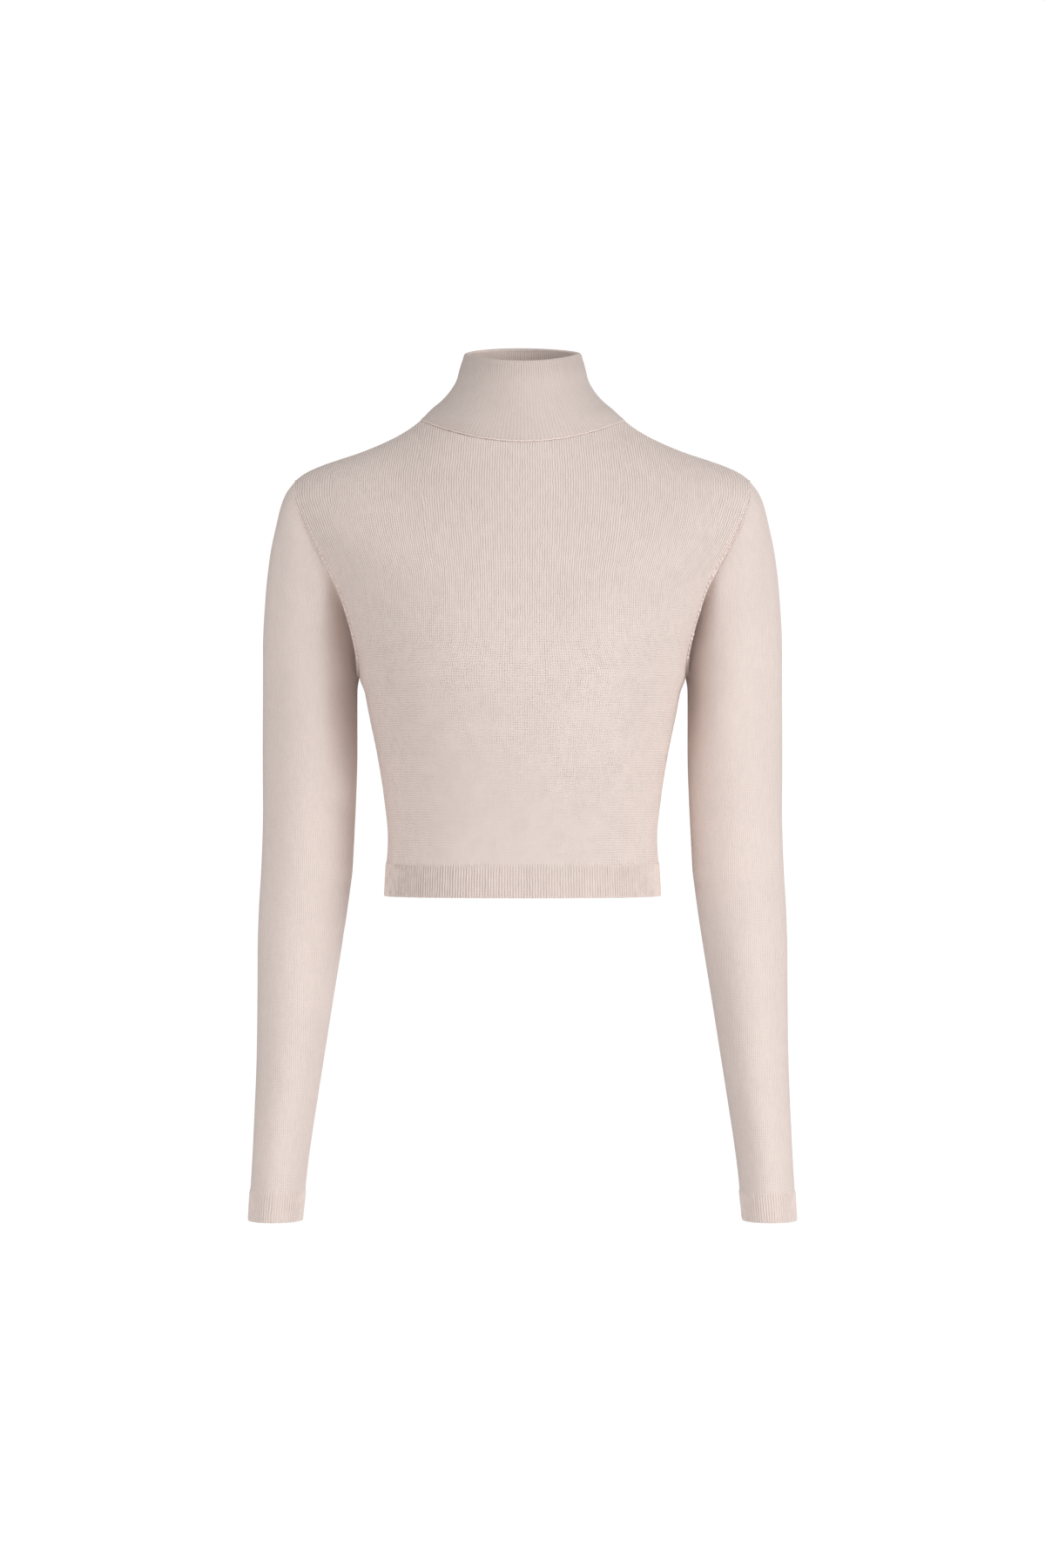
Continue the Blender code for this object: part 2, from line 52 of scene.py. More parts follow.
camera_data = bpy.data.cameras.new("camera")
camera_data.sensor_width = SENSOR
camera_data.lens = SENSOR * CAMERA_DISTANCE / PICTURE_HEIGHT
camera = bpy.data.objects.new("camera", camera_data)
camera.location = (0.0, -CAMERA_DISTANCE, AIM_HEIGHT)
camera.rotation_euler = (math.pi / 2, 0.0, 0.0)
bpy.context.scene.collection.objects.link(camera)
bpy.context.scene.camera = camera


# ---------------------------------------------------------------------------------------------------------
# Fine knit, a shared effect
# Plain knitting: columns of V-shaped stitches (wales) with a groove between one column and the next, in soft
# two-ply yarn. The cloth's own coordinates are in metres, across the wales and along them.
MM = 0.001
WALE_PITCH = 2.03 * MM
COURSE_PITCH = 1.9 * MM
WANDER_SCALE = 130.0
WANDER_ACROSS = 1.2 * MM
WANDER_ALONG = 2.2 * MM
V_SLANT = 0.62  # how far a stitch's two legs fall from its middle to its sides, in courses
COLUMN_SCALE = (7.3, 85.0)  # how fast tightness changes from column to column, and along one
LOOSENESS_SCALE = 45.0
FIBRE_SCALE = 1500.0
WORN_SCALE = 9.0
# How much lighter the collar's inner layer is painted, as painted light.
INSIDE_PAINTED_LIGHT = 1.27


class NodeMaker:
    """Adds nodes to a tree, and links or sets their inputs in order."""

    def __init__(self, tree):
        self.tree = tree

    def node(self, kind, *inputs, **settings):
        node = self.tree.nodes.new(kind)
        for key, value in settings.items():
            setattr(node, key, value)
        for socket, value in zip(node.inputs, inputs):
            self.plug(value, socket)
        return node

    def plug(self, value, socket):
        if value is None:
            return
        if isinstance(value, bpy.types.NodeSocket):
            self.tree.links.new(value, socket)
        else:
            socket.default_value = value

    def math(self, operation, *inputs, clamp=False):
        return self.node("ShaderNodeMath", *inputs, operation=operation, use_clamp=clamp).outputs[0]

    def plus(self, first, second):
        return self.math("ADD", first, second)

    def less(self, first, second, clamp=False):
        return self.math("SUBTRACT", first, second, clamp=clamp)

    def times(self, first, second):
        return self.math("MULTIPLY", first, second)

    def scaled(self, value, factor, start):
        return self.math("MULTIPLY_ADD", value, factor, start)

    def mix(self, share, first, second):
        """A value between two, by a share of 0 to 1."""
        return self.node("ShaderNodeMix", share, None, first, second).outputs[0]

    def ramp(self, value, low, high, to_low=0.0, to_high=1.0):
        node = self.node("ShaderNodeMapRange", value, low, high, to_low, to_high)
        node.interpolation_type = "SMOOTHSTEP"
        return node.outputs[0]

    def place(self, x, y):
        return self.node("ShaderNodeCombineXYZ", x, y, 0.0).outputs[0]

    def noise(self, place, scale, detail=2.0, roughness=0.5, dimensions="2D"):
        """Soft random values over a place, as the texture's outputs."""
        node = self.node("ShaderNodeTexNoise", noise_dimensions=dimensions)
        for name, value in (("Vector", place), ("Scale", scale), ("Detail", detail), ("Roughness", roughness)):
            self.plug(value, node.inputs[name])
        return node.outputs


def knit_group():
    """Stitches of plain knitting at given pitches. Height is 0 in the grooves and 1 on the yarn. Shade is painted
    shade: lower in the grooves, notches, creases and holes, where shade falls between the stitches.
    """
    group = bpy.data.node_groups.new("knit_stitches", "ShaderNodeTree")
    for name, default in (("Across", 0.0), ("Along", 0.0), ("Wale pitch", WALE_PITCH),
                          ("Course pitch", COURSE_PITCH), ("Groove", 1.0), ("Stitch", 0.5), ("Holes", 0.5)):
        group.interface.new_socket(name, in_out="INPUT", socket_type="NodeSocketFloat").default_value = default
    for name in ("Height", "Shade", "Fibre"):
        group.interface.new_socket(name, in_out="OUTPUT", socket_type="NodeSocketFloat")
    make = NodeMaker(group)
    given = make.node("NodeGroupInput").outputs
    put = make.node("NodeGroupOutput").inputs

    # Hand of the knitting: columns wander a little and stitches differ in size.
    place = make.place(given["Across"], given["Along"])
    drift = make.node("ShaderNodeSeparateColor", make.noise(place, WANDER_SCALE)["Color"]).outputs
    across = make.plus(given["Across"], make.times(make.less(drift[0], 0.5), WANDER_ACROSS))
    along = make.plus(given["Along"], make.times(make.less(drift[1], 0.5), WANDER_ALONG))

    in_wales = make.math("DIVIDE", across, given["Wale pitch"])
    from_middle = make.times(make.math("ABSOLUTE", make.less(make.math("FRACT", in_wales), 0.5)), 2.0)
    valley = make.math("POWER", from_middle, 2.0)
    crease = make.less(1.0, make.times(from_middle, 4.0), clamp=True)
    rise = make.less(make.math("DIVIDE", along, given["Course pitch"]), make.times(from_middle, V_SLANT))
    bead = make.scaled(make.math("COSINE", make.times(rise, 2 * math.pi)), 0.5, 0.5)
    between = make.less(1.0, bead)

    # Some columns are drawn tighter than others, and so lie a little deeper, with a little more painted shade.
    column = make.times(make.math("FLOOR", in_wales), COLUMN_SCALE[0])
    drawn = make.noise(make.place(column, make.times(along, COLUMN_SCALE[1])), 1.0)[0]
    tight = make.ramp(drawn, 0.3, 0.7)

    groove = make.times(make.times(valley, given["Groove"]), make.scaled(tight, 0.30, 0.90))
    notch = make.times(between, given["Stitch"])
    fold = make.times(crease, make.times(given["Stitch"], 0.5))
    open_wale = make.less(1.0, make.plus(groove, fold), clamp=True)
    make.plug(make.times(open_wale, make.less(1.0, notch, clamp=True)), put["Height"])

    # Loose stitches leave small holes between one column and the next, painted dark as the shade in them.
    loose = make.node("ShaderNodeTexWhiteNoise", noise_dimensions="2D")
    hole_place = make.place(make.math("FLOOR", make.plus(in_wales, 0.5)), make.math("FLOOR", rise))
    make.plug(hole_place, loose.inputs["Vector"])
    hole = make.times(make.times(valley, between), make.scaled(loose.outputs[0], 0.4, 0.4))
    hole = make.times(make.times(hole, make.scaled(tight, 0.5, 0.75)), given["Holes"])

    # Painted shade: the grooves, the notches between courses, the crease down each stitch and the holes are
    # painted darker where shade falls in them, and tighter columns a little darker still.
    dark = make.plus(make.scaled(notch, 0.35, make.plus(groove, make.times(fold, 0.5))), hole)
    shade = make.less(1.0, dark, clamp=True)
    make.plug(make.times(shade, make.scaled(tight, -0.02, 1.0)), put["Shade"])
    make.plug(make.noise(place, FIBRE_SCALE, 3.0, 0.7)[0], put["Fibre"])
    return group


KNIT = knit_group()

# A yarn's own colour (light), and the colour of the painted shade in its grooves and gaps (dark).
Yarn = namedtuple("Yarn", "light dark")
PALE_TAUPE = Yarn((0.880, 0.760, 0.707), (0.30, 0.240, 0.216))


def new_material(name):
    """A material, with a maker for its nodes and its shader."""
    material = bpy.data.materials.new(name)
    material.use_nodes = True
    return material, NodeMaker(material.node_tree), material.node_tree.nodes["Principled BSDF"]


def yarn_surface(make, shader, yarn, shade, height, strength, distance):
    """Relief, soft gloss and fuzz of a yarn. Returns its colour, from its painted shade up to its own colour by a
    shade of 0 to 1.
    """
    colour = make.node("ShaderNodeMix", data_type="RGBA")
    make.plug(shade, colour.inputs[0])
    colour.inputs[6].default_value = (*yarn.dark, 1.0)
    colour.inputs[7].default_value = (*yarn.light, 1.0)
    relief = make.node("ShaderNodeBump")
    relief.inputs["Strength"].default_value = strength
    relief.inputs["Distance"].default_value = distance
    make.plug(height, relief.inputs["Height"])
    make.plug(relief.outputs[0], shader.inputs["Normal"])
    shader.inputs["Specular IOR Level"].default_value = 0.22
    shader.inputs["Sheen Weight"].default_value = 0.12
    shader.inputs["Sheen Roughness"].default_value = 0.45
    return colour.outputs[2]


def knit_material(name, yarn, wale_pitch, course_pitch, groove, stitch, holes, side_fade=0.0, band=None,
                  painted_light_from=None):
    """Knitted cloth. groove is how open the columns are below and above, grooves' painted shade included, and the
    two heights between which that changes. stitch is how deep the courses are there, and holes how dark the
    painted shade in the gaps of loose stitches is. side_fade lifts the change at the sides. band is a rib, whose
    grooves get more painted shade towards one side edge. From the height that the last argument gives on, the
    cloth is an inner layer, painted lighter as painted light."""
    material, make, shader = new_material(name)
    knit_uv = make.node("ShaderNodeUVMap", uv_map="knit").outputs[0]
    coordinates = make.node("ShaderNodeSeparateXYZ", knit_uv).outputs
    across, along = coordinates[0], coordinates[1]
    *openings, low_at, high_at = groove
    level = make.less(along, make.times(make.times(across, across), side_fade))
    openness, stitches, loose = [
        make.ramp(level, low_at, high_at, *ends) for ends in (openings, stitch, holes)]
    # Stitches are looser in some patches than in others.
    loose = make.times(loose, make.ramp(make.noise(knit_uv, LOOSENESS_SCALE)[0], 0.3, 0.7, 0.88, 1.12))
    pitch = wale_pitch
    if band is not None:
        # In the rib band the columns stand apart as ribs, and have coordinates of their own.
        rib_uv = make.node("ShaderNodeUVMap", uv_map="rib").outputs[0]
        rib_across = make.node("ShaderNodeSeparateXYZ", rib_uv).outputs[0]
        in_band = make.math("LESS_THAN", along, band["height"])
        across = make.mix(in_band, across, rib_across)
        pitch = make.mix(in_band, wale_pitch, band["pitch"])
        # Towards the band's first side edge its grooves are deeper and get more painted shade, for the stronger
        # shade between the ribs on that side.
        openness = make.mix(in_band, openness, make.ramp(rib_across, 30 * MM, 170 * MM, *band["groove"]))
        loose = make.mix(in_band, loose, 0.0)
    stitched = make.node("ShaderNodeGroup", node_tree=KNIT)
    for socket, value in (("Across", across), ("Along", along), ("Wale pitch", pitch), ("Groove", openness),
                          ("Course pitch", course_pitch), ("Stitch", stitches), ("Holes", loose)):
        make.plug(value, stitched.inputs[socket])
    knit = stitched.outputs

    everywhere = make.node("ShaderNodeTexCoord").outputs["Object"]
    worn_and_painted_light = make.ramp(make.noise(everywhere, WORN_SCALE, 3.0, dimensions="3D")[0], 0.3, 0.7, 0.965, 1.0)
    # Painted light: past that height the cloth, the collar's inner layer, is painted lighter, standing in for
    # light inside it.
    if painted_light_from is not None:
        worn_and_painted_light = make.times(worn_and_painted_light, make.ramp(along, painted_light_from, painted_light_from + 4 * MM, 1.0, INSIDE_PAINTED_LIGHT))
    shade = make.times(knit["Shade"], make.scaled(knit["Fibre"], 0.44, 0.78))
    height = make.scaled(knit["Fibre"], 0.22, knit["Height"])
    tone = make.node("ShaderNodeHueSaturation")
    make.plug(worn_and_painted_light, tone.inputs["Value"])
    make.plug(yarn_surface(make, shader, yarn, shade, height, 0.7, 0.3 * MM), tone.inputs["Color"])
    make.plug(tone.outputs[0], shader.inputs["Base Color"])
    make.plug(make.scaled(knit["Height"], -0.12, 0.94), shader.inputs["Roughness"])
    shader.inputs["Sheen Tint"].default_value = (0.95, 0.90, 0.87, 1.0)
    return material


# ---------------------------------------------------------------------------------------------------------
# Front and back
# Two panels of fine knit, each in one with its half of the 1x1 rib hem, knitted to shape at the armholes and
# linked at the sides and shoulders. Lengths are in millimetres from here to the end of the seams.
KNIT_THICKNESS = 1.5
HEM_RIB_PITCH = 2.22
HEM_BAND_HEIGHT = 25.0
BAND_FADE = 3.0
RIB_HEIGHT = 0.6
SEAM_GAP = 0.3
SEAM_RELIEF = 0.5
NECK_HALF_WIDTH = 83.0
SHOULDER_HALF_WIDTH = 185.0
NECK_SHARE = NECK_HALF_WIDTH / SHOULDER_HALF_WIDTH
SHOULDER_TIP_HEIGHT = -46.0
UNDERARM_HEIGHT = -207.0
UNDERARM_HALF_WIDTH = 133.0
ARMHOLE_DEPTH_FRONT = 48.0
ARMHOLE_DEPTH_BACK = 50.0
ARMHOLE_MIDDLE = (SHOULDER_TIP_HEIGHT + UNDERARM_HEIGHT) / 2
ARMHOLE_RADIUS = (SHOULDER_TIP_HEIGHT - UNDERARM_HEIGHT) / 2
HEM_HEIGHT = -383.8



def rows_of(kind, *rows):
    """A table, each row with its columns' names."""
    return [kind(*row) for row in rows]


BodyLevel = namedtuple("BodyLevel", "z half_width front back fullness")
BODY = rows_of(
    BodyLevel,
    (HEM_HEIGHT, 112.2, 93, 87, 2.45),
    (-364, 111.2, 92, 84.5, 2.45),
    (-337, 110, 91, 82, 2.40),
    (-303, 113.3, 94.5, 82.5, 2.35),
    (-269, 118.7, 101, 85, 2.35),
    (-235, 125.7, 108.5, 88.5, 2.40),
    (-218, 129, 112, 90.5, 2.42),
    (UNDERARM_HEIGHT, UNDERARM_HALF_WIDTH, 113.8, 91.5, 2.45),
    (-180, 137, 116, 93, 2.48),
    (-155, 143, 114.5, 94, 2.40),
    (-126.5, 151, 108.5, 93.5, 2.15),
)

ArmholeLevel = namedtuple("ArmholeLevel", "z front back")
ARMHOLE = rows_of(
    ArmholeLevel,
    (SHOULDER_TIP_HEIGHT, SHOULDER_HALF_WIDTH, SHOULDER_HALF_WIDTH), (-58, 185, 185.6), (-74, 180, 183),
    (-89, 174, 179), (-106, 165, 172.5), (-122, 155.5, 164.5), (-136, 148.6, 157.5), (-150, 143.8, 151),
    (-170, 138, 143), (-190, 133.8, 136.4), (-201, 133, 133.6),
    (UNDERARM_HEIGHT, UNDERARM_HALF_WIDTH, UNDERARM_HALF_WIDTH),
)

RidgePoint = namedtuple("RidgePoint", "x z")
SHOULDER_RIDGE = rows_of(
    RidgePoint,
    (NECK_HALF_WIDTH, 3.2), (89, -1.6), (97.5, -7.2), (108.5, -13.1), (120.5, -18.5), (134.5, -24),
    (150.5, -29.3), (165.8, -34.8), (177.5, -40.4), (SHOULDER_HALF_WIDTH, SHOULDER_TIP_HEIGHT),
)

Slope = namedtuple("Slope", "across front back")
SLOPES = rows_of(
    Slope,
    (0.00, 1.42, 1.95), (0.45, 1.40, 1.90), (1.00, 2.00, 2.00),
)

CollarRing = namedtuple("CollarRing", "half_width front back side_z front_z back_z bend")
COLLAR = rows_of(
    CollarRing,
    (NECK_HALF_WIDTH, 56, 60, 3.2, -18, 5, 1.35),
    (74.2, 54.6, 56.6, 12, -7, 15, 1.30),
    (65.2, 53.4, 53.2, 19.6, 4, 25, 1.25),
    (58.4, 52.6, 49.8, 27.6, 15, 35, 1.20),
    (53.6, 52.2, 46.4, 36.2, 25.5, 45.5, 1.10),
    (51.4, 52, 43, 44.8, 35.8, 55.4, 1.05),
    (49, 51.8, 39.8, 52.8, 43.6, 62.4, 1.00),
    (47.6, 51.4, 38.6, 56.6, 46.1, 64.7, 1.00),
)


def read_table(table, key, column, at):
    """A column of a table between its rows, on a smooth curve that never overshoots them."""
    keys = np.array([i if key == "row" else getattr(row, key) for i, row in enumerate(table)], float)
    values = np.array([getattr(row, column) for row in table], float)
    order = np.argsort(keys)
    keys, values = keys[order], values[order]
    step = np.diff(keys)
    slope = np.diff(values) / step
    same_way = slope[:-1] * slope[1:] > 0
    safe = np.where(same_way, slope[:-1], 1.0), np.where(same_way, slope[1:], 1.0)
    before = 2 * step[1:] + step[:-1]
    after = step[1:] + 2 * step[:-1]
    mean = (before + after) / (before / safe[0] + after / safe[1])
    tangent = np.concatenate(([slope[0]], np.where(same_way, mean, 0.0), [slope[-1]]))
    at = np.clip(np.asarray(at, float), keys[0], keys[-1])
    k = np.clip(np.searchsorted(keys, at) - 1, 0, len(step) - 1)
    t = (at - keys[k]) / step[k]
    return (
        values[k] * (1 + 2 * t) * (1 - t) ** 2
        + values[k + 1] * t**2 * (3 - 2 * t)
        + tangent[k] * step[k] * t * (1 - t) ** 2
        - tangent[k + 1] * step[k] * t**2 * (1 - t)
    )


def unit(vectors):
    return vectors / np.linalg.norm(vectors, axis=-1, keepdims=True)


def run_lengths(points):
    """Length along each line of points down the first axis, up to each of them."""
    steps = np.linalg.norm(np.diff(points, axis=0), axis=-1)
    return np.concatenate((np.zeros_like(steps[:1]), np.cumsum(steps, axis=0)))


def armhole_edge(side, angle):
    """The armhole seam's half-width, depth and height, at an angle from the shoulder tip to the underarm."""
    z = ARMHOLE_MIDDLE + ARMHOLE_RADIUS * np.cos(angle)
    widest = ARMHOLE_DEPTH_FRONT if side == "front" else ARMHOLE_DEPTH_BACK
    return read_table(ARMHOLE, "z", side, z), widest * np.sin(angle), z


def neckline(side, across):
    """Depth and height of the neckline at a place across the panel. Past its end they are the shoulder's."""
    along = np.clip(np.abs(across) / NECK_SHARE, 0, 1)
    slope = read_table(SLOPES, "across", side, np.abs(across))
    forward = (1 - along**2) ** (1 / slope)
    base = COLLAR[0]
    deepest = base.front if side == "front" else base.back
    drop = (base.front_z if side == "front" else base.back_z) - base.side_z
    ridge = read_table(SHOULDER_RIDGE, "x", "z", np.abs(across) * SHOULDER_HALF_WIDTH)
    return deepest * forward, np.where(along < 1, base.side_z + drop * forward**base.bend, ridge)


def body_section(side, edge_z, edge_x, edge_depth, across):
    """Depth of the body across one level, on a superellipse that passes through the level's edge points."""
    middle = read_table(BODY, "z", side, edge_z)
    fullness = read_table(BODY, "z", "fullness", edge_z)
    whole = edge_x / (1 - (edge_depth / middle) ** fullness) ** (1 / fullness)
    return middle * np.clip(1 - np.abs(across * edge_x / whole) ** fullness, 0, 1) ** (1 / fullness)


def chest_edge(side):
    x, depth, z = armhole_edge(side, np.array(math.pi / 2))
    return z, x, depth


def panel_stop(side, across):
    """How far up a column of the panel goes: 2 at the shoulder seam, less where the neckline stops it."""
    chest = body_section(side, *chest_edge(side), across)
    depth, _ = neckline(side, across)
    slope = read_table(SLOPES, "across", side, np.abs(across))
    return 2 - np.arcsin((depth / chest) ** (slope / 2)) / math.pi


def panel_point(side, way_up, across):
    """A point of a panel. way_up is 0 at the hem, 1 at the underarm and 2 at the shoulder line."""
    way_up, across = np.broadcast_arrays(np.asarray(way_up, float), np.asarray(across, float))
    angle = np.clip(2 - way_up, 0, 1) * math.pi
    edge_x, edge_depth, edge_z = armhole_edge(side, angle)
    seam_z = HEM_HEIGHT + (UNDERARM_HEIGHT - HEM_HEIGHT) * np.clip(way_up, 0, 1)
    on_seam = way_up < 1
    edge_x = np.where(on_seam, read_table(BODY, "z", "half_width", seam_z), edge_x)
    edge_z = np.where(on_seam, seam_z, edge_z)
    edge_depth = np.where(on_seam, 0.0, edge_depth)
    chest = chest_edge(side)
    rounding = way_up > 1.5
    level_depth = body_section(
        side,
        np.where(rounding, chest[0], edge_z),
        np.where(rounding, chest[1], edge_x),
        np.where(rounding, chest[2], edge_depth),
        across,
    )
    stop_depth, stop_z = neckline(side, across)
    slope = read_table(SLOPES, "across", side, np.abs(across))
    left_over = 1 - (stop_depth / body_section(side, *chest, across)) ** slope
    crest = (stop_z - ARMHOLE_MIDDLE) / left_over ** (1 / slope)
    arc = np.clip(angle, 0, math.pi / 2)
    depth = np.where(rounding, level_depth * np.sin(arc) ** (2 / slope), level_depth)
    z = np.where(rounding, ARMHOLE_MIDDLE + crest * np.clip(np.cos(arc), 0, 1) ** (2 / slope), edge_z)
    facing = -1 if side == "front" else 1
    return np.stack((-facing * across * edge_x, facing * depth, z), axis=-1)


def surface_normal(point_at, first, second, first_ends, second_ends=(-np.inf, np.inf)):
    """The normal of a surface with two coordinates, from points a small step away along each of them."""
    step = 1e-4
    first, second = np.broadcast_arrays(np.asarray(first, float), np.asarray(second, float))
    up = point_at(np.clip(first + step, *first_ends), second) - point_at(
        np.clip(first - step, *first_ends), second)
    over = point_at(first, np.clip(second + step, *second_ends)) - point_at(
        first, np.clip(second - step, *second_ends))
    return unit(np.cross(over, up))


def panel_normal(side, way_up, across):
    return surface_normal(lambda up, over: panel_point(side, up, over), way_up, across, (0, 2), (-1, 1))


class Cloth:
    """A closed wall of cloth built from rows of points, with the cloth's own coordinates as UV maps."""

    def __init__(self, name, closed_round):
        self.name = name
        self.closed_round = closed_round
        self.points = []
        self.knit = []
        self.rib = []
        self.faces = []

    def add_skin(self, rows, knit, rib):
        """Rows of points with their two sets of coordinates. Returns each row's vertex numbers."""
        numbered = []
        for row, row_knit, row_rib in zip(rows, knit, rib):
            first = sum(len(part) for part in self.points)
            numbered.append(list(range(first, first + len(row))))
            self.points.append(row)
            self.knit.append(row_knit)
            self.rib.append(row_rib)
        for low, high in zip(numbered, numbered[1:]):
            self.strip(low, high)
        return numbered

    def strip(self, low, high):
        """Faces between two rows, in quads where they have as many points, in triangles where not."""
        if len(low) == len(high):
            self.faces += [(low[i], low[i + 1], high[i + 1], high[i]) for i in range(len(low) - 1)]
            return
        points = np.concatenate(self.points)
        low_at, high_at = run_lengths(points[low]), run_lengths(points[high])
        low_at, high_at = low_at / low_at[-1], high_at / high_at[-1]
        i = j = 0
        while i < len(low) - 1 or j < len(high) - 1:
            if j == len(high) - 1 or (i < len(low) - 1 and low_at[i + 1] <= high_at[j + 1]):
                self.faces.append((low[i], low[i + 1], high[j]))
                i += 1
            else:
                self.faces.append((low[i], high[j + 1], high[j]))
                j += 1

    def build(self, outer, inner, material):
        self.strip(outer[0], inner[0])
        self.strip(outer[-1], inner[-1])
        if not self.closed_round:
            for end in (0, -1):
                self.strip([row[end] for row in outer], [row[end] for row in inner])
        data = bpy.data.meshes.new(self.name)
        data.from_pydata((np.concatenate(self.points) * MM).tolist(), [], self.faces)
        corners = np.empty(len(data.loops), int)
        data.loops.foreach_get("vertex_index", corners)
        for map_name, values in (("knit", self.knit), ("rib", self.rib)):
            layer = data.uv_layers.new(name=map_name)
            layer.data.foreach_set("uv", (np.concatenate(values)[corners] * MM).ravel())
        return finish_mesh(self.name, data, material)


def finish_mesh(name, data, material):
    """Join the mesh's doubled points, turn its faces outwards and make an object of it."""
    mesh = bmesh.new()
    mesh.from_mesh(data)
    bmesh.ops.remove_doubles(mesh, verts=mesh.verts, dist=1e-7)
    bmesh.ops.recalc_face_normals(mesh, faces=mesh.faces)
    if mesh.calc_volume(signed=True) < 0:
        bmesh.ops.reverse_faces(mesh, faces=mesh.faces)
    mesh.to_mesh(data)
    mesh.free()
    data.materials.clear()
    data.materials.append(material)
    data.shade_smooth()
    data.set_sharp_from_angle(angle=math.radians(50))
    piece = bpy.data.objects.new(name, data)
    bpy.context.scene.collection.objects.link(piece)
    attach(piece, "root")
    return piece


NECK_COLUMNS, SHOULDER_COLUMNS = 26, 42
SIDE_ROWS, CHEST_ROWS, SHOULDER_ROWS = 42, 26, 30
EDGE_CROWDING = 2.3


def columns_across(neck_columns, shoulder_columns):
    """Places across a panel from one side edge (-1) to the other (1), closest together at the edges."""
    inner = NECK_SHARE * np.sin(np.linspace(0, math.pi / 2, neck_columns + 1))
    to_edge = 1 - np.linspace(0, 1, shoulder_columns + 1)
    outer = NECK_SHARE + (1 - NECK_SHARE) * (1 - to_edge**EDGE_CROWDING)
    half = np.concatenate((inner, outer[1:]))
    return np.concatenate((-half[:0:-1], half))


def uneven(number, salt):
    """A repeatable value from -1 to 1 for a numbered rib or stitch."""
    value = np.sin(np.asarray(number, float) * 12.9898 + salt * 78.233) * 43758.5453
    return 2 * (value - np.floor(value)) - 1


def groove(distance, depth, width):
    """A soft groove next to a seam: how far the surface sinks at a distance from it."""
    return -depth * np.exp(-((distance / width) ** 2))


POINTS_TO_A_RIB = 6
BAND_LEVELS = np.array((
    0.0, 0.4, 1.0, 2.0, 3.5, 5.5, 8.0, 11.0, 14.0, 17.0, 20.0, 22.5, 24.0, 25.2, 26.5, 28.0))


def rib_relief(level, band_height, raised, number, salt):
    """How far the ribs stand out at a height above the edge: rounded off at the edge, run out at the top."""
    start = np.clip(0.35 + level / 1.6, 0, 1)
    end = np.clip((band_height + BAND_FADE - level) / BAND_FADE, 0, 1)
    height = RIB_HEIGHT * (1 + 0.22 * uneven(number, salt) + 0.12 * uneven(number + 50 * round(level), salt))
    return raised * height * start * end**1.3


def rib_band(surface_at, edge, knit_across, band_height, pitch, salt, roll, wavering=0.0):
    """Rows of a rib band from its edge up, with their two sets of coordinates. surface_at gives points and
    normals at a height and at places along the edge. edge and knit_across are pairs: places, and the lengths
    there along the edge and across the cloth. The ribs roll down at the edge and may waver sideways."""
    places, lengths = edge
    whole = lengths[-1]
    ribs = int(round(whole / pitch))
    steps = np.linspace(0, 1, POINTS_TO_A_RIB * ribs + 1)
    raised = (0.5 - 0.5 * np.cos(steps * ribs * 2 * math.pi)) ** 0.8
    number = np.floor(steps * ribs)
    across = np.interp(np.interp(steps, lengths / whole, places), *knit_across)
    rib = np.stack((steps * whole, np.zeros(len(steps))), axis=1)
    skin, knit = [], []
    for level in BAND_LEVELS * (band_height + BAND_FADE) / (HEM_BAND_HEIGHT + BAND_FADE):
        waver = wavering * np.sin(level / 3.1 + 2.0 * uneven(number, salt + 3)) * raised
        waver *= np.sin(steps * math.pi)
        points, normal = surface_at(level, np.interp(steps + waver / whole, lengths / whole, places))
        points = points + rib_relief(level, band_height, raised, number, salt)[:, None] * normal
        points[:, 2] -= roll * raised * max(0.0, 1 - level / 1.5)
        skin.append(points)
        knit.append(np.stack((across, np.full(len(steps), level)), axis=1))
    return skin, knit, [rib] * len(skin)


# Where a panel stands proud of its plain shape (height above 0) or creases (below 0), in soft patches. tilt
# turns a patch, in radians.
Patch = namedtuple("Patch", "x z wide tall tilt height")
FULLNESS = {
    "front": rows_of(
        Patch,
        (-62, -155, 37, 29, 0.15, 4.2),
        (68, -153, 37, 29, -0.15, 3.6),
        (-104, -349, 13, 3.4, 0.75, -0.9),
        (-95, -344, 12, 3, 0.55, 0.5),
        (99, -352, 10, 3.4, -0.70, -0.6),
        (-96, -196, 26, 8, 0.50, -1.1),
        (100, -200, 22, 8, -0.50, -0.9),
    ),
    "back": rows_of(
        Patch,
        (-58, -120, 36, 40, 0, 2),
        (58, -118, 36, 40, 0, 2.2),
        (100, -347, 12, 3.4, 0.70, -0.8),
        (-97, -352, 11, 3.6, -0.65, -0.7),
        (6, -262, 70, 9, 0.06, -1.2),
        (-20, -285, 60, 8, -0.08, -0.9),
    ),
}


def fullness(side, points):
    """How far a panel's points stand out of the plain shape."""
    out = np.zeros(points.shape[:-1])
    for patch in FULLNESS[side]:
        x, z = points[..., 0] - patch.x, points[..., 2] - patch.z
        along = x * math.cos(patch.tilt) + z * math.sin(patch.tilt)
        across = z * math.cos(patch.tilt) - x * math.sin(patch.tilt)
        out += patch.height * np.exp(-0.5 * ((along / patch.wide) ** 2 + (across / patch.tall) ** 2))
    return out


WALE_TURN = 1.5
WALE_EASE = 30.0  # how far above the underarm the turn has set in fully
WALE_NARROWING = 0.0014


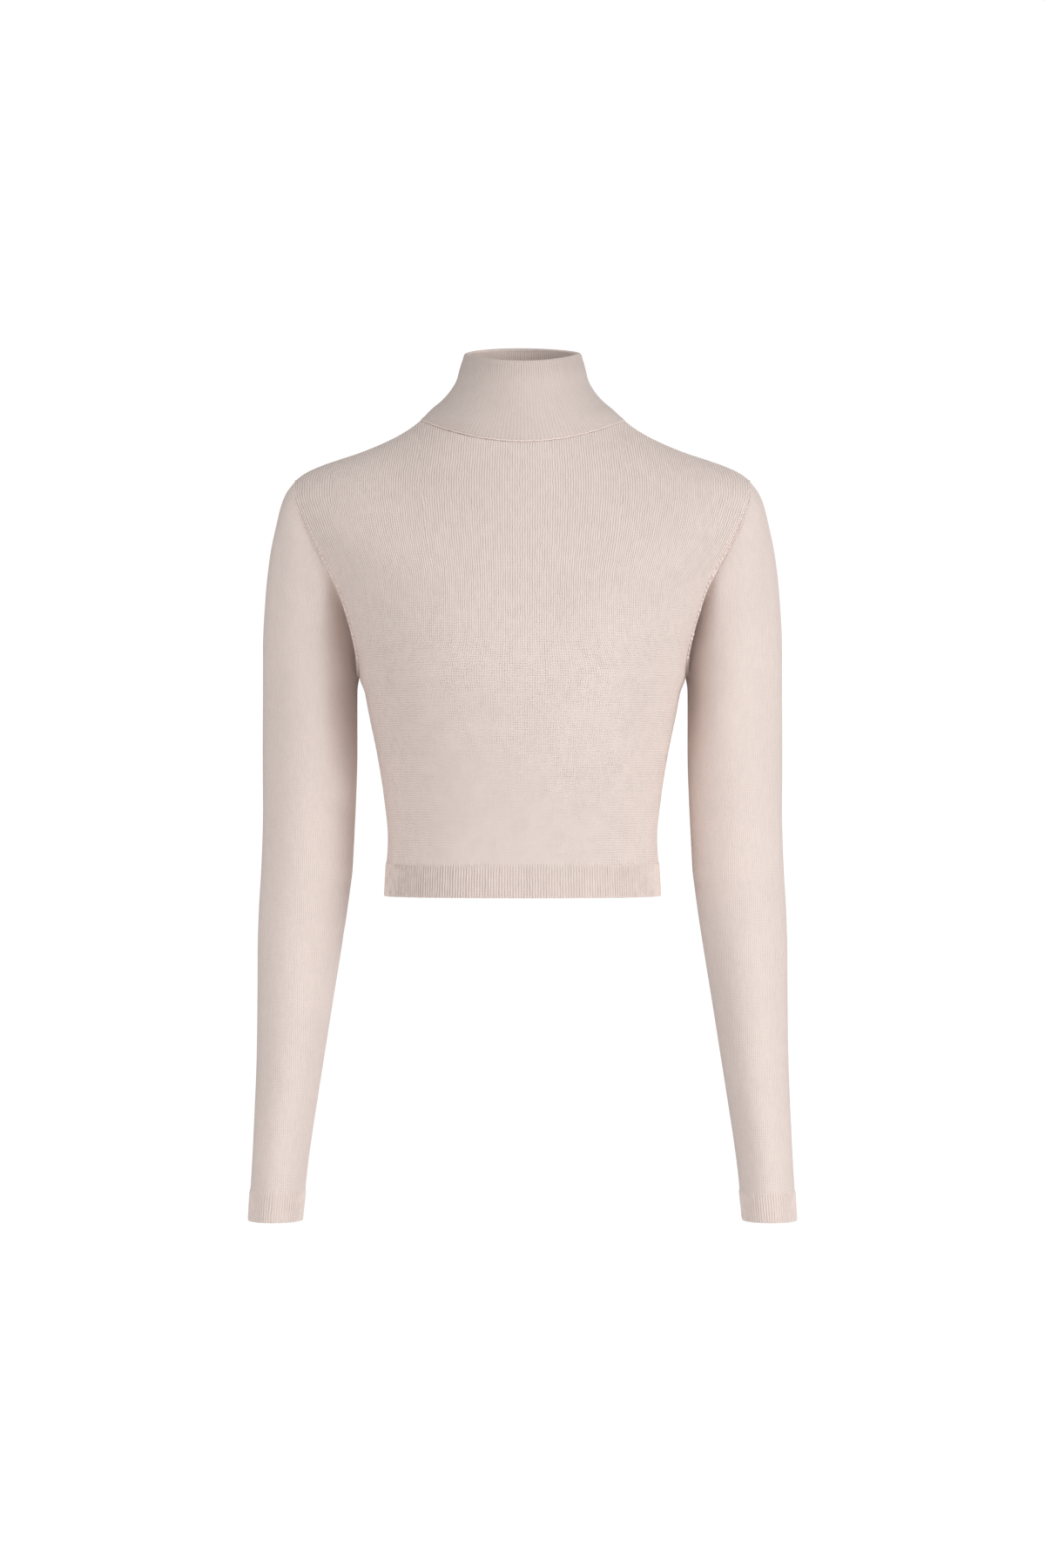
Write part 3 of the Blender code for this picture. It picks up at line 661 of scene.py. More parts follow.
def wale_place(side, points, level):
    """How far across the cloth points above the underarm are. The columns of stitches hang straight in the
    middle and turn towards the armhole's line at the edges; over the shoulder they draw in a little."""
    sweep = np.linspace(0, 1, 201)
    section = panel_point(side, level, sweep)
    lengths = run_lengths(section)
    underarm = run_lengths(panel_point(side, 1.0, sweep))[-1]
    far, z = np.abs(points[:, 0]), points[:, 2]

    def length_to(x):
        edge = abs(section[-1, 0])
        return np.interp(x, np.abs(section[:, 0]), lengths) + np.clip(x - edge, 0, None)

    edge_x = read_table(ARMHOLE, "z", side, np.minimum(z, SHOULDER_TIP_HEIGHT))
    turned = np.clip(far / edge_x, 0, 1) ** WALE_TURN * np.clip(
        (z - UNDERARM_HEIGHT) / WALE_EASE, 0, 1)
    place = length_to(far) - turned * (length_to(edge_x) - underarm)
    place *= 1 + WALE_NARROWING * np.clip(z - SHOULDER_TIP_HEIGHT, 0, None)
    return np.sign(points[:, 0]) * (1 if side == "front" else -1) * place


def ease_across(points, rows, to_top):
    """Rounds off the line that the neckline's two ends leave down the panel."""
    eased = points.copy()
    spread = 7.0
    for i, row in enumerate(rows):
        if row[0] <= 1:
            continue
        x = points[i, :, 0]
        order = np.argsort(x)
        even = np.linspace(x[order[0]], x[order[-1]], 500)
        reach = int(3 * spread / (even[1] - even[0]))
        kernel = np.exp(-0.5 * (np.arange(-reach, reach + 1) * (even[1] - even[0]) / spread) ** 2)
        kernel /= kernel.sum()
        share = np.clip((to_top[i] - 3) / 14, 0, 1) * np.clip((x.max() - np.abs(x)) / 30, 0, 1)
        share = share * min(1.0, (row[0] - 1) / 0.25)
        for axis in (1, 2):
            values = np.interp(even, x[order], points[i, order, axis])
            values = np.convolve(np.pad(values, reach, mode="edge"), kernel, mode="valid")
            eased[i, :, axis] += share * (np.interp(x, even, values) - points[i, :, axis])
    return eased


def spaced_rows(first, count, step):
    """Every so many of the row numbers from the first on, and the last one."""
    return sorted({*range(first, count, step), count - 1})


def make_panel(side, material):
    columns = columns_across(NECK_COLUMNS, SHOULDER_COLUMNS)
    side_height = UNDERARM_HEIGHT - HEM_HEIGHT
    level_rows = np.concatenate((np.linspace((HEM_BAND_HEIGHT + BAND_FADE) / side_height, 1, SIDE_ROWS)[1:],
                                 1 + 0.5 * np.linspace(0, 1, CHEST_ROWS)[1:]))
    upper = np.sin(np.linspace(0, math.pi / 2, SHOULDER_ROWS))[1:]
    stop = panel_stop(side, columns)
    rows = [np.full(len(columns), row) for row in level_rows] + [1.5 + (stop - 1.5) * share for share in upper]
    plain = np.array([panel_point(side, row, columns) for row in rows])
    normal = np.array([panel_normal(side, row, columns) for row in rows])

    # The cloth's own coordinates: along each column from the hem, and across from the centre line.
    sweep = np.sin(np.linspace(-math.pi / 2, math.pi / 2, 1601))
    hem_lengths = run_lengths(panel_point(side, 0.0, sweep))
    underarm_lengths = run_lengths(panel_point(side, 1.0, sweep))
    underarm_lengths -= underarm_lengths[-1] / 2
    base = np.interp(columns, sweep, underarm_lengths)
    knit = np.empty(plain.shape[:2] + (2,))
    knit[:, :, 1] = level_rows[0] * side_height + run_lengths(plain)
    for i, row in enumerate(rows):
        knit[i, :, 0] = base if row[0] <= 1 else wale_place(side, plain[i], min(row[0], 1.5))
    rib = np.zeros_like(knit)
    rib[:, :, 0] = np.interp(columns, sweep, hem_lengths)

    to_top = knit[-1:, :, 1] - knit[:, :, 1]
    plain = ease_across(plain, rows, to_top)
    to_side = (1 - np.abs(columns)) * np.abs(plain[:, -1:, 0])
    sway = 0.5 * np.sin(plain[..., 0] / 31 + 1.1) * np.sin(plain[..., 2] / 44 + 0.6)
    relief = groove(to_side, 0.5, 0.9) + groove(to_top, 0.75, 1.0)
    relief += sway * np.clip(to_side / 20, 0, 1) * np.clip(to_top / 20, 0, 1)
    relief += fullness(side, plain) * np.clip(to_side / 12, 0, 1) * np.clip(to_top / 12, 0, 1)
    dressed = plain + relief[..., None] * normal

    def hem_surface(level, places):
        way_up = level / side_height
        return panel_point(side, way_up, places), panel_normal(side, way_up, places)

    band, band_knit, band_rib = rib_band(
        hem_surface, (sweep, hem_lengths), (sweep, underarm_lengths), HEM_BAND_HEIGHT, HEM_RIB_PITCH,
        salt=1.0 if side == "front" else 2.0, roll=0.35, wavering=0.22)
    outer = band + list(dressed[1:])
    outer_knit, outer_rib = band_knit + list(knit[1:]), band_rib + list(rib[1:])

    picked = spaced_rows(1, len(rows), 2)
    inner = [panel_point(side, 0.0, columns) - KNIT_THICKNESS * panel_normal(side, 0.0, columns)]
    inner += [dressed[i] - KNIT_THICKNESS * normal[i] for i in picked]
    inner_knit = [np.stack((base, np.zeros(len(columns))), axis=1)] + [knit[i] for i in picked]
    for skin, gap in ((outer, SEAM_GAP / 2), (inner, SEAM_GAP / 2 + SEAM_RELIEF)):
        pull_sides(skin, gap)
        pull_last(skin, gap)
    cloth = Cloth(f"{side}_knit", closed_round=False)
    outside = cloth.add_skin(outer, outer_knit, outer_rib)
    inside = cloth.add_skin(inner, inner_knit, [rib[0]] * len(inner))
    piece = cloth.build(outside, inside, material)
    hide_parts(f"{side}_panel")
    return piece


def pull_sides(skin, distance):
    """Move the two side edges of a skin, a list of rows, inwards along it."""
    for row in skin:
        for end, beside in ((0, 1), (-1, -2)):
            row[end] = row[end] + distance * unit(row[beside] - row[end])


def pull_last(skin, distance):
    skin[-1] = skin[-1] + distance * unit(skin[-2] - skin[-1])


# The hem rib's grooves get more painted shade towards one side edge, and the gaps of loose stitches more painted
# shade below the chest than above it.
panel_knit = knit_material(
    "panel_knit", PALE_TAUPE, WALE_PITCH, COURSE_PITCH,
    groove=(0.03, 0.55, 182 * MM, 240 * MM), stitch=(0.46, 0.34), holes=(1.10, 0.12), side_fade=1.0,
    band={"height": (HEM_BAND_HEIGHT + 1.0) * MM, "pitch": HEM_RIB_PITCH * MM, "groove": (0.66, 0.40)},
)
front = make_panel("front", panel_knit)
back = make_panel("back", panel_knit)


# ---------------------------------------------------------------------------------------------------------
# Sleeves
# Long slim tubes of a slightly finer knit, each in one with its 1x1 rib cuff, set into the armholes. Beside the
# lower armhole the inner side lies flatter, where it turns in under the arm, and inside the elbow it creases.
CUFF_RIB_PITCH = 2.12
CUFF_BAND_HEIGHT = 23.0
CUFF_HEIGHT = -646.0
CUFF_TOP_HEIGHT = CUFF_HEIGHT + CUFF_BAND_HEIGHT
SLEEVE_WALE_PITCH = 1.65
SLEEVE_COURSE_PITCH = 1.4

SleeveRing = namedtuple("SleeveRing", "outer_z inner_z front back centre_y set_in")
SLEEVE = rows_of(
    SleeveRing,
    (SHOULDER_TIP_HEIGHT, UNDERARM_HEIGHT, ARMHOLE_DEPTH_FRONT, ARMHOLE_DEPTH_BACK, 0, 1.00),
    (-53, -209, 48.6, 50.4, 0, 0.86),
    (-64, -211.5, 49, 50.6, 0, 0.70),
    (-80, -214.5, 49.2, 50.4, 0, 0.50),
    (-100, -218.5, 49.2, 50, 0, 0.32),
    (-124, -224, 49, 49.4, 0, 0.16),
    (-150, -232, 48.6, 48.6, 0, 0.06),
    (-179, -243, 48, 47.6, 0.4, 0.00),
    (-210, -258, 47, 46.4, 0.8, 0.00),
    (-243, -277, 45.6, 45, 1.2, 0.00),
    (-277, -300, 43.8, 43.4, 1.6, 0.00),
    (-311, -325, 41.6, 41.4, 2, 0.00),
    (-344, -350, 39.6, 39.6, 1.6, 0.00),
    (-376, -376, 38, 38, 0, 0.00),
    (-410, -408, 36.6, 36.6, -2.6, 0.00),
    (-450, -447, 35, 35, -6.4, 0.00),
    (-492, -489, 33.4, 33.4, -10.6, 0.00),
    (-534, -532, 31.8, 31.8, -14.6, 0.00),
    (-578, -577, 30.2, 30.2, -18.4, 0.00),
    (CUFF_TOP_HEIGHT, CUFF_TOP_HEIGHT, 28.8, 28.8, -21.6, 0.00),
    (CUFF_HEIGHT, CUFF_HEIGHT, 28.5, 28.5, -23, 0.00),
)

EdgePoint = namedtuple("EdgePoint", "z x")
SLEEVE_OUTER_EDGE = rows_of(
    EdgePoint,
    (SHOULDER_TIP_HEIGHT, SHOULDER_HALF_WIDTH), (-56, 192.4), (-65, 196.3), (-82, 200.6), (-107, 205.7),
    (-141, 209.4), (-184, 211.7), (-314, 211.8), (-363, 213.1), (-397, 214.8), (-431, 215.7),
    (-508, 215.8), (-576, 218.2), (-627, 220.8), (CUFF_HEIGHT, 221.9),
)
SLEEVE_INNER_EDGE = rows_of(
    EdgePoint,
    (UNDERARM_HEIGHT, UNDERARM_HALF_WIDTH), (-218, 134.3), (-269, 134.4), (-303, 135.4), (-346, 137.4),
    (-363, 138.3), (-380, 140.4), (-414, 145.2), (-482, 155.8), (-550, 166.4), (-601, 173.6),
    (CUFF_HEIGHT, 178.4),
)

# Soft troughs (depth above 0) and ridges (below 0). at and turn place the middle, down the arm in millimetres
# of height and round it (0 outside, 0.25 back, 0.5 inside, 0.75 front). tilt is the rise for a whole turn.
Fold = namedtuple("Fold", "at turn length width tilt depth")
SLEEVE_FOLDS = rows_of(
    Fold,
    (-356, 0.560, 0.120, 5, 60, 0.9), (-372, 0.520, 0.140, 6, -40, 0.8),
    (-338, 0.470, 0.110, 5, -70, 0.7), (-364, 0.640, 0.090, 9, 30, -0.5),
)
RIGHT_SLEEVE_FOLDS = rows_of(
    Fold,
    (-420, 0.560, 0.080, 5, -50, 0.6), (-296, 0.600, 0.060, 13, 40, -1.6),
    (-322, 0.590, 0.070, 9, 60, 1.2), (-136, 0.790, 0.055, 6, 110, 0.9),
    (-152, 0.760, 0.060, 8, 110, -0.8),
)
LEFT_SLEEVE_FOLDS = rows_of(
    Fold,
    (-584.5, 0.690, 0.110, 1.6, 22, 0.55), (-581, 0.690, 0.100, 2, 22, -0.3),
)


def sleeve_point(ring, turn):
    """A point of the left sleeve's outer face. ring counts down from the armhole, turn goes once round."""
    ring, turn = np.broadcast_arrays(np.asarray(ring, float), np.asarray(turn, float))
    outer_z = read_table(SLEEVE, "row", "outer_z", ring)
    inner_z = read_table(SLEEVE, "row", "inner_z", ring)
    outer_x = read_table(SLEEVE_OUTER_EDGE, "z", "x", outer_z)
    inner_x = read_table(SLEEVE_INNER_EDGE, "z", "x", inner_z)
    angle = turn * 2 * math.pi
    towards_inner = (1 - np.cos(angle)) / 2
    x = outer_x + (inner_x - outer_x) * towards_inner
    z = outer_z + (inner_z - outer_z) * towards_inner
    at_back = np.sin(angle) > 0
    depth = np.where(at_back, read_table(SLEEVE, "row", "back", ring), read_table(SLEEVE, "row", "front", ring))
    y = read_table(SLEEVE, "row", "centre_y", ring) + depth * np.sin(angle)
    seam_x = np.where(at_back, armhole_edge("back", angle)[0], armhole_edge("front", angle)[0])
    straight = SHOULDER_HALF_WIDTH + (UNDERARM_HALF_WIDTH - SHOULDER_HALF_WIDTH) * towards_inner
    x = x + read_table(SLEEVE, "row", "set_in", ring) * (seam_x - straight)
    return np.stack((x, y, z), axis=-1)


def sleeve_normal(ring, turn):
    return -surface_normal(sleeve_point, ring, turn, (0, len(SLEEVE) - 1))


def folded(points, turn, folds):
    """How far the cloth stands out because of its folds."""
    out = np.zeros(points.shape[:-1])
    for fold in folds:
        away = turn - fold.turn
        off = points[..., 2] - fold.at - fold.tilt * away
        out -= fold.depth * np.exp(-((off / fold.width) ** 2) - (away / fold.length) ** 2)
    return out


# Heights between which the inner side is drawn flat, and how far from the armhole's seam that has set in.
PINCH_TOP = -112.0
PINCH_FULL = -184.0
PINCH_FADE = -222.0
PINCH_END = -320.0
PINCH_RETURN = 0.6


def soft_step(value, start, end):
    share = np.clip((value - start) / (end - start), 0, 1)
    return share * share * (3 - 2 * share)


def depth_kept(points, from_seam, share, wide):
    """How much of its depth the sleeve keeps at each point, where a share of it is drawn in on the inner side."""
    x, z = points[..., 0], points[..., 2]
    at_back = points[..., 1] > 0
    seam_x = np.where(at_back, read_table(ARMHOLE, "z", "back", z), read_table(ARMHOLE, "z", "front", z))
    inner_x = np.where(z > UNDERARM_HEIGHT, seam_x, read_table(SLEEVE_INNER_EDGE, "z", "x", z))
    down = soft_step(z, PINCH_TOP, PINCH_FULL)
    width = wide * (0.4 + 0.6 * down)
    drawn_in = down * soft_step(z, PINCH_END, PINCH_FADE) * np.exp(-(((x - inner_x) / width) ** 2))
    return 1 - share * drawn_in * (1 - np.exp(-((from_seam / PINCH_RETURN) ** 2)))


QUARTER_COLUMNS = 18
ARM_RINGS, UPPER_ARM_RINGS = 70, 56
ARMHOLE_RINGS = (0.38, 0.28, 0.19, 0.12, 0.06, 0.0)


def make_sleeve(name, mirrored, material, drawn_in, folds):
    last = len(SLEEVE) - 1
    band_ring = last - 1
    quarter = 0.25 * np.sin(np.linspace(0, math.pi / 2, QUARTER_COLUMNS))
    half = np.concatenate((quarter, 0.5 - quarter[-2::-1]))
    turns = np.concatenate((-half[:0:-1], half))
    rings = np.concatenate((np.linspace(band_ring, 8, ARM_RINGS), np.linspace(8, 0.5, UPPER_ARM_RINGS)[1:],
                            ARMHOLE_RINGS))
    plain = np.array([sleeve_point(ring, turns) for ring in rings])
    normal = np.array([sleeve_normal(ring, turns) for ring in rings])

    # Columns of stitches keep their distance from the line down the outside, and meet at the inside seam.
    outside = len(turns) // 2
    knit = np.empty(plain.shape[:2] + (2,))
    knit[:, :, 1] = CUFF_BAND_HEIGHT + run_lengths(plain)
    for i, ring_points in enumerate(plain):
        lengths = run_lengths(ring_points)
        knit[i, :, 0] = lengths - lengths[outside]
    sweep = np.linspace(turns[0], turns[-1], 801)
    cuff_lengths = run_lengths(sleeve_point(last, sweep))
    rib = np.zeros_like(knit)
    rib[:, :, 0] = np.interp(turns, sweep, cuff_lengths)

    from_top = knit[-1:, :, 1] - knit[:, :, 1]
    to_seam = np.minimum(np.abs(knit[:, :, 0] - knit[:, :1, 0]), np.abs(knit[:, :, 0] - knit[:, -1:, 0]))
    sway = 0.3 * np.sin(plain[..., 2] / 21 + 1.7) * np.sin(turns * 2 * math.pi * 2 + 0.5)
    relief = groove(from_top, 0.5, 0.9) + groove(to_seam, 0.35, 1.0)
    relief += folded(plain, turns % 1.0, folds) * np.clip(from_top / 6, 0, 1)
    relief += sway * np.clip(from_top / 30, 0, 1)
    plain[..., 1] *= depth_kept(plain, from_top, *drawn_in)
    dressed = plain + relief[..., None] * normal

    def cuff_surface(level, places):
        above = level - CUFF_BAND_HEIGHT
        step = CUFF_BAND_HEIGHT if above < 0 else SLEEVE[-3].outer_z - SLEEVE[-2].outer_z
        ring = band_ring - above / step
        return sleeve_point(ring, places), sleeve_normal(ring, places)

    band, band_knit, band_rib = rib_band(
        cuff_surface, (sweep, cuff_lengths), (turns, knit[0, :, 0]), CUFF_BAND_HEIGHT, CUFF_RIB_PITCH,
        salt=5.0 if mirrored else 4.0, roll=0.3)
    first = int(np.searchsorted(knit[:, outside, 1], CUFF_BAND_HEIGHT + BAND_FADE + 1.0))
    outer = band + list(dressed[first:])
    outer_knit, outer_rib = band_knit + list(knit[first:]), band_rib + list(rib[first:])

    picked = spaced_rows(0, len(rings), 3)
    inner = [sleeve_point(last, turns) - KNIT_THICKNESS * sleeve_normal(last, turns)]
    inner += [dressed[i] - KNIT_THICKNESS * normal[i] for i in picked]
    inner_knit = [np.stack((knit[0, :, 0], np.zeros(len(turns))), axis=1)] + [knit[i] for i in picked]
    pull_last(outer, SEAM_GAP / 2)
    pull_last(inner, SEAM_GAP / 2 + SEAM_RELIEF)
    if mirrored:
        flip = np.array((-1.0, 1.0, 1.0))
        outer, inner = [row * flip for row in outer], [row * flip for row in inner]
    cloth = Cloth(f"{name}_cloth", closed_round=True)
    outside_rows = cloth.add_skin(outer, outer_knit, outer_rib)
    inside_rows = cloth.add_skin(inner, inner_knit, [rib[0]] * len(inner))
    piece = cloth.build(outside_rows, inside_rows, material)
    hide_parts(name)
    return piece


sleeve_knit = knit_material(
    "sleeve_knit", PALE_TAUPE, SLEEVE_WALE_PITCH * MM, SLEEVE_COURSE_PITCH * MM,
    groove=(0.20, 0.20, 200 * MM, 420 * MM), stitch=(0.36, 0.36), holes=(0.30, 0.30),
    band={"height": (CUFF_BAND_HEIGHT + 1.0) * MM, "pitch": CUFF_RIB_PITCH * MM, "groove": (0.24, 0.24)},
)
sleeve_left = make_sleeve("sleeve_left", False, sleeve_knit, (0.42, 9.5), SLEEVE_FOLDS + LEFT_SLEEVE_FOLDS)
sleeve_right = make_sleeve("sleeve_right", True, sleeve_knit, (0.56, 13.5), SLEEVE_FOLDS + RIGHT_SLEEVE_FOLDS)


# ---------------------------------------------------------------------------------------------------------
# Collar
# A mock neck knitted double, folded at its rim into a soft round lip, and linked to the neckline, where its
# lower edge stands a little proud of the panels.
COLLAR_THICKNESS = 2.6
COLLAR_WALE_PITCH = 1.85
COLLAR_COURSE_PITCH = 1.4
COLLAR_COLUMNS = 128


def neckline_points(angles):
    """The collar's lowest ring, which is the panels' own neckline."""
    at_front = np.cos(angles) > 0
    across = NECK_SHARE * np.sin(angles)
    front_line = panel_point("front", panel_stop("front", across), across)
    back_line = panel_point("back", panel_stop("back", across), -across)
    return np.where(at_front[:, None], front_line, back_line)


def collar_by_table(ring, angles):
    """A ring of the collar as the table alone gives it."""
    forward = np.cos(angles)
    at_front = forward > 0
    size = {column: read_table(COLLAR, "row", column, ring) for column in CollarRing._fields}
    drop = np.where(at_front, size["front_z"], size["back_z"]) - size["side_z"]
    x = np.sin(angles) * size["half_width"]
    y = -forward * np.where(at_front, size["front"], size["back"])
    bend = size["bend"] + np.where(at_front, 0.4 * np.clip((ring - 4.5) / 2, 0, 1), 0.0)
    z = size["side_z"] + drop * np.abs(forward) ** bend
    return np.stack((x, y, z), axis=-1)


def collar_ring(ring, angles):
    """A ring of the collar, the lowest of them brought onto the neckline."""
    to_neckline = neckline_points(angles) - collar_by_table(0.0, angles)
    return collar_by_table(ring, angles) + np.clip(1 - ring, 0, 1) * to_neckline


def make_collar(material):
    angles = np.linspace(0, 2 * math.pi, COLLAR_COLUMNS + 1) + math.pi
    last = len(COLLAR) - 1
    rings = np.concatenate(((0.0, 0.06, 0.14, 0.24, 0.36), np.linspace(0.5, last - 0.4, 36),
                            np.linspace(last - 0.4, last, 5)[1:]))
    rows = np.array([collar_ring(ring, angles) for ring in rings])
    round_it = np.roll(rows[:, :-1], -1, axis=1) - np.roll(rows[:, :-1], 1, axis=1)
    round_it = np.concatenate((round_it, round_it[:, :1]), axis=1)
    outward = unit(np.cross(round_it, np.gradient(rows, axis=0)))
    up = run_lengths(rows)
    share = (angles - math.pi) / (2 * math.pi)
    wales = round(run_lengths(rows[-1])[-1] / COLLAR_WALE_PITCH)
    knit = np.stack((np.broadcast_to(share * wales * COLLAR_WALE_PITCH, up.shape), up), axis=-1)

    relief = groove(up, 0.6, 0.7) + 0.45 * np.exp(-(((up - 1.9) / 1.1) ** 2))
    relief += 0.35 * np.sin(angles * 3 + 0.7) * np.sin(up / 17 + 0.4) * np.clip(up / 12, 0, 1)
    below_rim = up[-1:] - up
    relief += 0.16 * np.exp(-(((below_rim - 0.8) / 1.8) ** 2)) + groove(below_rim - 4.6, 0.14, 1.4)
    skin = rows + relief[..., None] * outward
    fold = COLLAR_THICKNESS / 2
    top_out, top_up = outward[-1], unit(rows[-1] - rows[-2])
    centre = skin[-1] - fold * top_out
    turns = np.linspace(0, math.pi, 9)
    lip = [centre + fold * (math.cos(t) * top_out + 1.1 * math.sin(t) * top_up) for t in turns[1:-1]]
    lip_knit = [np.stack((knit[-1, :, 0], knit[-1, :, 1] + fold * t), axis=1) for t in turns[1:-1]]
    picked = spaced_rows(0, len(rings), 2)
    inner = [rows[i] - COLLAR_THICKNESS * outward[i] for i in picked]
    inner_knit = [np.stack((knit[i, :, 0], 2 * knit[-1, :, 1] + 4 - knit[i, :, 1]), axis=1) for i in picked]
    outer = list(skin)
    outer[0] = outer[0] + SEAM_GAP / 2 * unit(outer[1] - outer[0])
    inner[0] = inner[0] + (SEAM_GAP / 2 + SEAM_RELIEF) * unit(inner[1] - inner[0])
    outer += lip
    outer_knit = list(knit) + lip_knit
    cloth = Cloth("collar_cloth", closed_round=True)
    outside = cloth.add_skin(outer, outer_knit, outer_knit)
    inside = cloth.add_skin(inner, inner_knit, inner_knit)
    piece = cloth.build(outside, inside, material)
    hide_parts("collar")
    return piece


# The collar is of the same yarn, painted darker by a share as painted shade for the shade its turned surface lies
# in; its inner layer is painted lighter again, as painted light.
COLLAR_YARN_PAINTED_SHADE = Yarn(tuple(0.81 * part for part in PALE_TAUPE.light), PALE_TAUPE.dark)
collar_knit = knit_material(
    "collar_fine_knit", COLLAR_YARN_PAINTED_SHADE, COLLAR_WALE_PITCH * MM, COLLAR_COURSE_PITCH * MM,
    groove=(0.16, 0.48, 46 * MM, 60 * MM), stitch=(0.30, 0.34), holes=(0.30, 0.10), painted_light_from=66 * MM,
)
collar = make_collar(collar_knit)


# ---------------------------------------------------------------------------------------------------------
# Seams
# The pieces are linked stitch by stitch, which leaves a fine chain in each seam. Beside the armholes the
# narrowings of the knitting stand up as a row of small raised loops.
CHAIN_PITCH = 1.9
CHAIN_SIDES = 7


def at_lengths(line, lengths, at):
    """A line of points or directions, read at given lengths along it."""
    return np.stack([np.interp(at, lengths, line[:, axis]) for axis in range(3)], axis=1)


def chain(name, path, out, radius, sink, closed, material):
    """A chain of stitches along a path, sunk between the edges of the cloth. out points away from the cloth."""
    lengths = run_lengths(path)
    count = int(round(lengths[-1] / CHAIN_PITCH)) * 4
    at = np.linspace(0, lengths[-1], count + 1)
    path, out = at_lengths(path, lengths, at), unit(at_lengths(out, lengths, at))
    along = unit(np.gradient(path, axis=0))
    if closed:
        path, out, along = path[:-1], out[:-1], along[:-1]
    out = unit(out - np.sum(out * along, axis=1, keepdims=True) * along)
    beside = np.cross(along, out)
    step = np.arange(len(path))
    size = radius * (0.80 + 0.20 * np.cos(step * math.pi / 2)) * (1 + 0.10 * uneven(step // 4, 7))
    centre = path - sink * out + 0.12 * radius * uneven(step // 4, 8)[:, None] * beside
    sides = CHAIN_SIDES
    angles = np.arange(sides) * 2 * math.pi / sides
    rings = centre[:, None] + size[:, None, None] * (
        np.cos(angles)[None, :, None] * out[:, None] + np.sin(angles)[None, :, None] * beside[:, None])
    count = len(path)
    faces = []
    for i in range(count if closed else count - 1):
        for j in range(sides):
            k = (j + 1) % sides
            n = (i + 1) % count
            faces.append((i * sides + j, i * sides + k, n * sides + k, n * sides + j))
    if not closed:
        faces += [tuple(range(sides)), tuple(range((count - 1) * sides, count * sides))[::-1]]
    data = bpy.data.meshes.new(name)
    data.from_pydata((rings.reshape(-1, 3) * MM).tolist(), [], faces)
    piece = finish_mesh(name, data, material)
    return piece


def yarn_material(name, yarn):
    """Loose twisted yarn, as it shows in a seam: fibres along it, fuzz, and painted shade in soft patches about a
    stitch apart, for the shade between the stitches.
    """
    material, make, shader = new_material(name)
    place = make.node("ShaderNodeTexCoord").outputs["Object"]
    fuzz = make.noise(place, 1400.0, 3.0, dimensions="3D")[0]
    # Painted shade between the stitches, in soft patches about a stitch apart.
    loops = make.noise(place, 420.0, dimensions="3D")[0]
    shade = make.times(make.ramp(fuzz, 0.3, 0.7, 0.90, 1.0), make.ramp(loops, 0.3, 0.7, 0.95, 1.0))
    make.plug(yarn_surface(make, shader, yarn, shade, fuzz, 0.6, 0.2 * MM), shader.inputs["Base Color"])
    make.plug(make.ramp(fuzz, 0.3, 0.7, 0.96, 0.86), shader.inputs["Roughness"])
    return material


linking_yarn = yarn_material("linking_yarn", PALE_TAUPE)

round_arm = np.linspace(0, 1, 721)
arm_angle = round_arm * 2 * math.pi
at_back = np.sin(arm_angle) > 0
panel_out = np.where(
    at_back[:, None],
    panel_normal("back", 2 - np.clip(arm_angle, 0, math.pi) / math.pi, -0.985),
    panel_normal("front", 2 - np.clip(2 * math.pi - arm_angle, 0, math.pi) / math.pi, 0.985),
)
arm_path = sleeve_point(0.0, round_arm)
arm_out = unit(sleeve_normal(0.3, round_arm) + panel_out + np.array((0.0, 0.0, -0.15)))
side_up = np.linspace(0.002, 1, 200)
side_path = panel_point("front", side_up, 1.0)
side_out = np.broadcast_to(np.array((1.0, 0.0, 0.0)), side_path.shape)
over_shoulder = np.linspace(NECK_SHARE, 1, 120)
shoulder_path = panel_point("front", panel_stop("front", over_shoulder), over_shoulder)
shoulder_run = unit(np.gradient(shoulder_path, axis=0))
shoulder_out = unit(np.stack((-shoulder_run[:, 2], np.zeros(120), shoulder_run[:, 0]), axis=1))
down_arm = np.linspace(0.05, len(SLEEVE) - 1.01, 400)
under_path = sleeve_point(down_arm, 0.5)
under_out = sleeve_normal(down_arm, 0.5)
for side, turn_over in (("left", 1), ("right", -1)):
    mirror = np.array((turn_over, 1.0, 1.0))
    chain(f"armhole_seam_{side}", arm_path * mirror, arm_out * mirror, 0.75, 0.50, True, linking_yarn)
    chain(f"side_seam_{side}", side_path * mirror, side_out * mirror, 0.70, 0.75, False, linking_yarn)
    chain(f"shoulder_seam_{side}", shoulder_path * mirror, shoulder_out * mirror, 0.70, 0.62, False,
          linking_yarn)
    chain(f"sleeve_seam_{side}", under_path * mirror, under_out * mirror, 0.60, 0.75, False, linking_yarn)

neck_angles = np.linspace(0, 2 * math.pi, 721)
neck_path = neckline_points(neck_angles)
neck_up = unit(collar_ring(0.4, neck_angles) - neck_path)
neck_round = unit(np.gradient(neck_path, axis=0))
neck_out = unit(np.cross(neck_round, neck_up))
neck_lift = 0.18 - 0.20 * np.sin(neck_angles)
chain("neck_seam", neck_path + neck_lift[:, None] * neck_up, neck_out, 0.80, 0.30, True, linking_yarn)

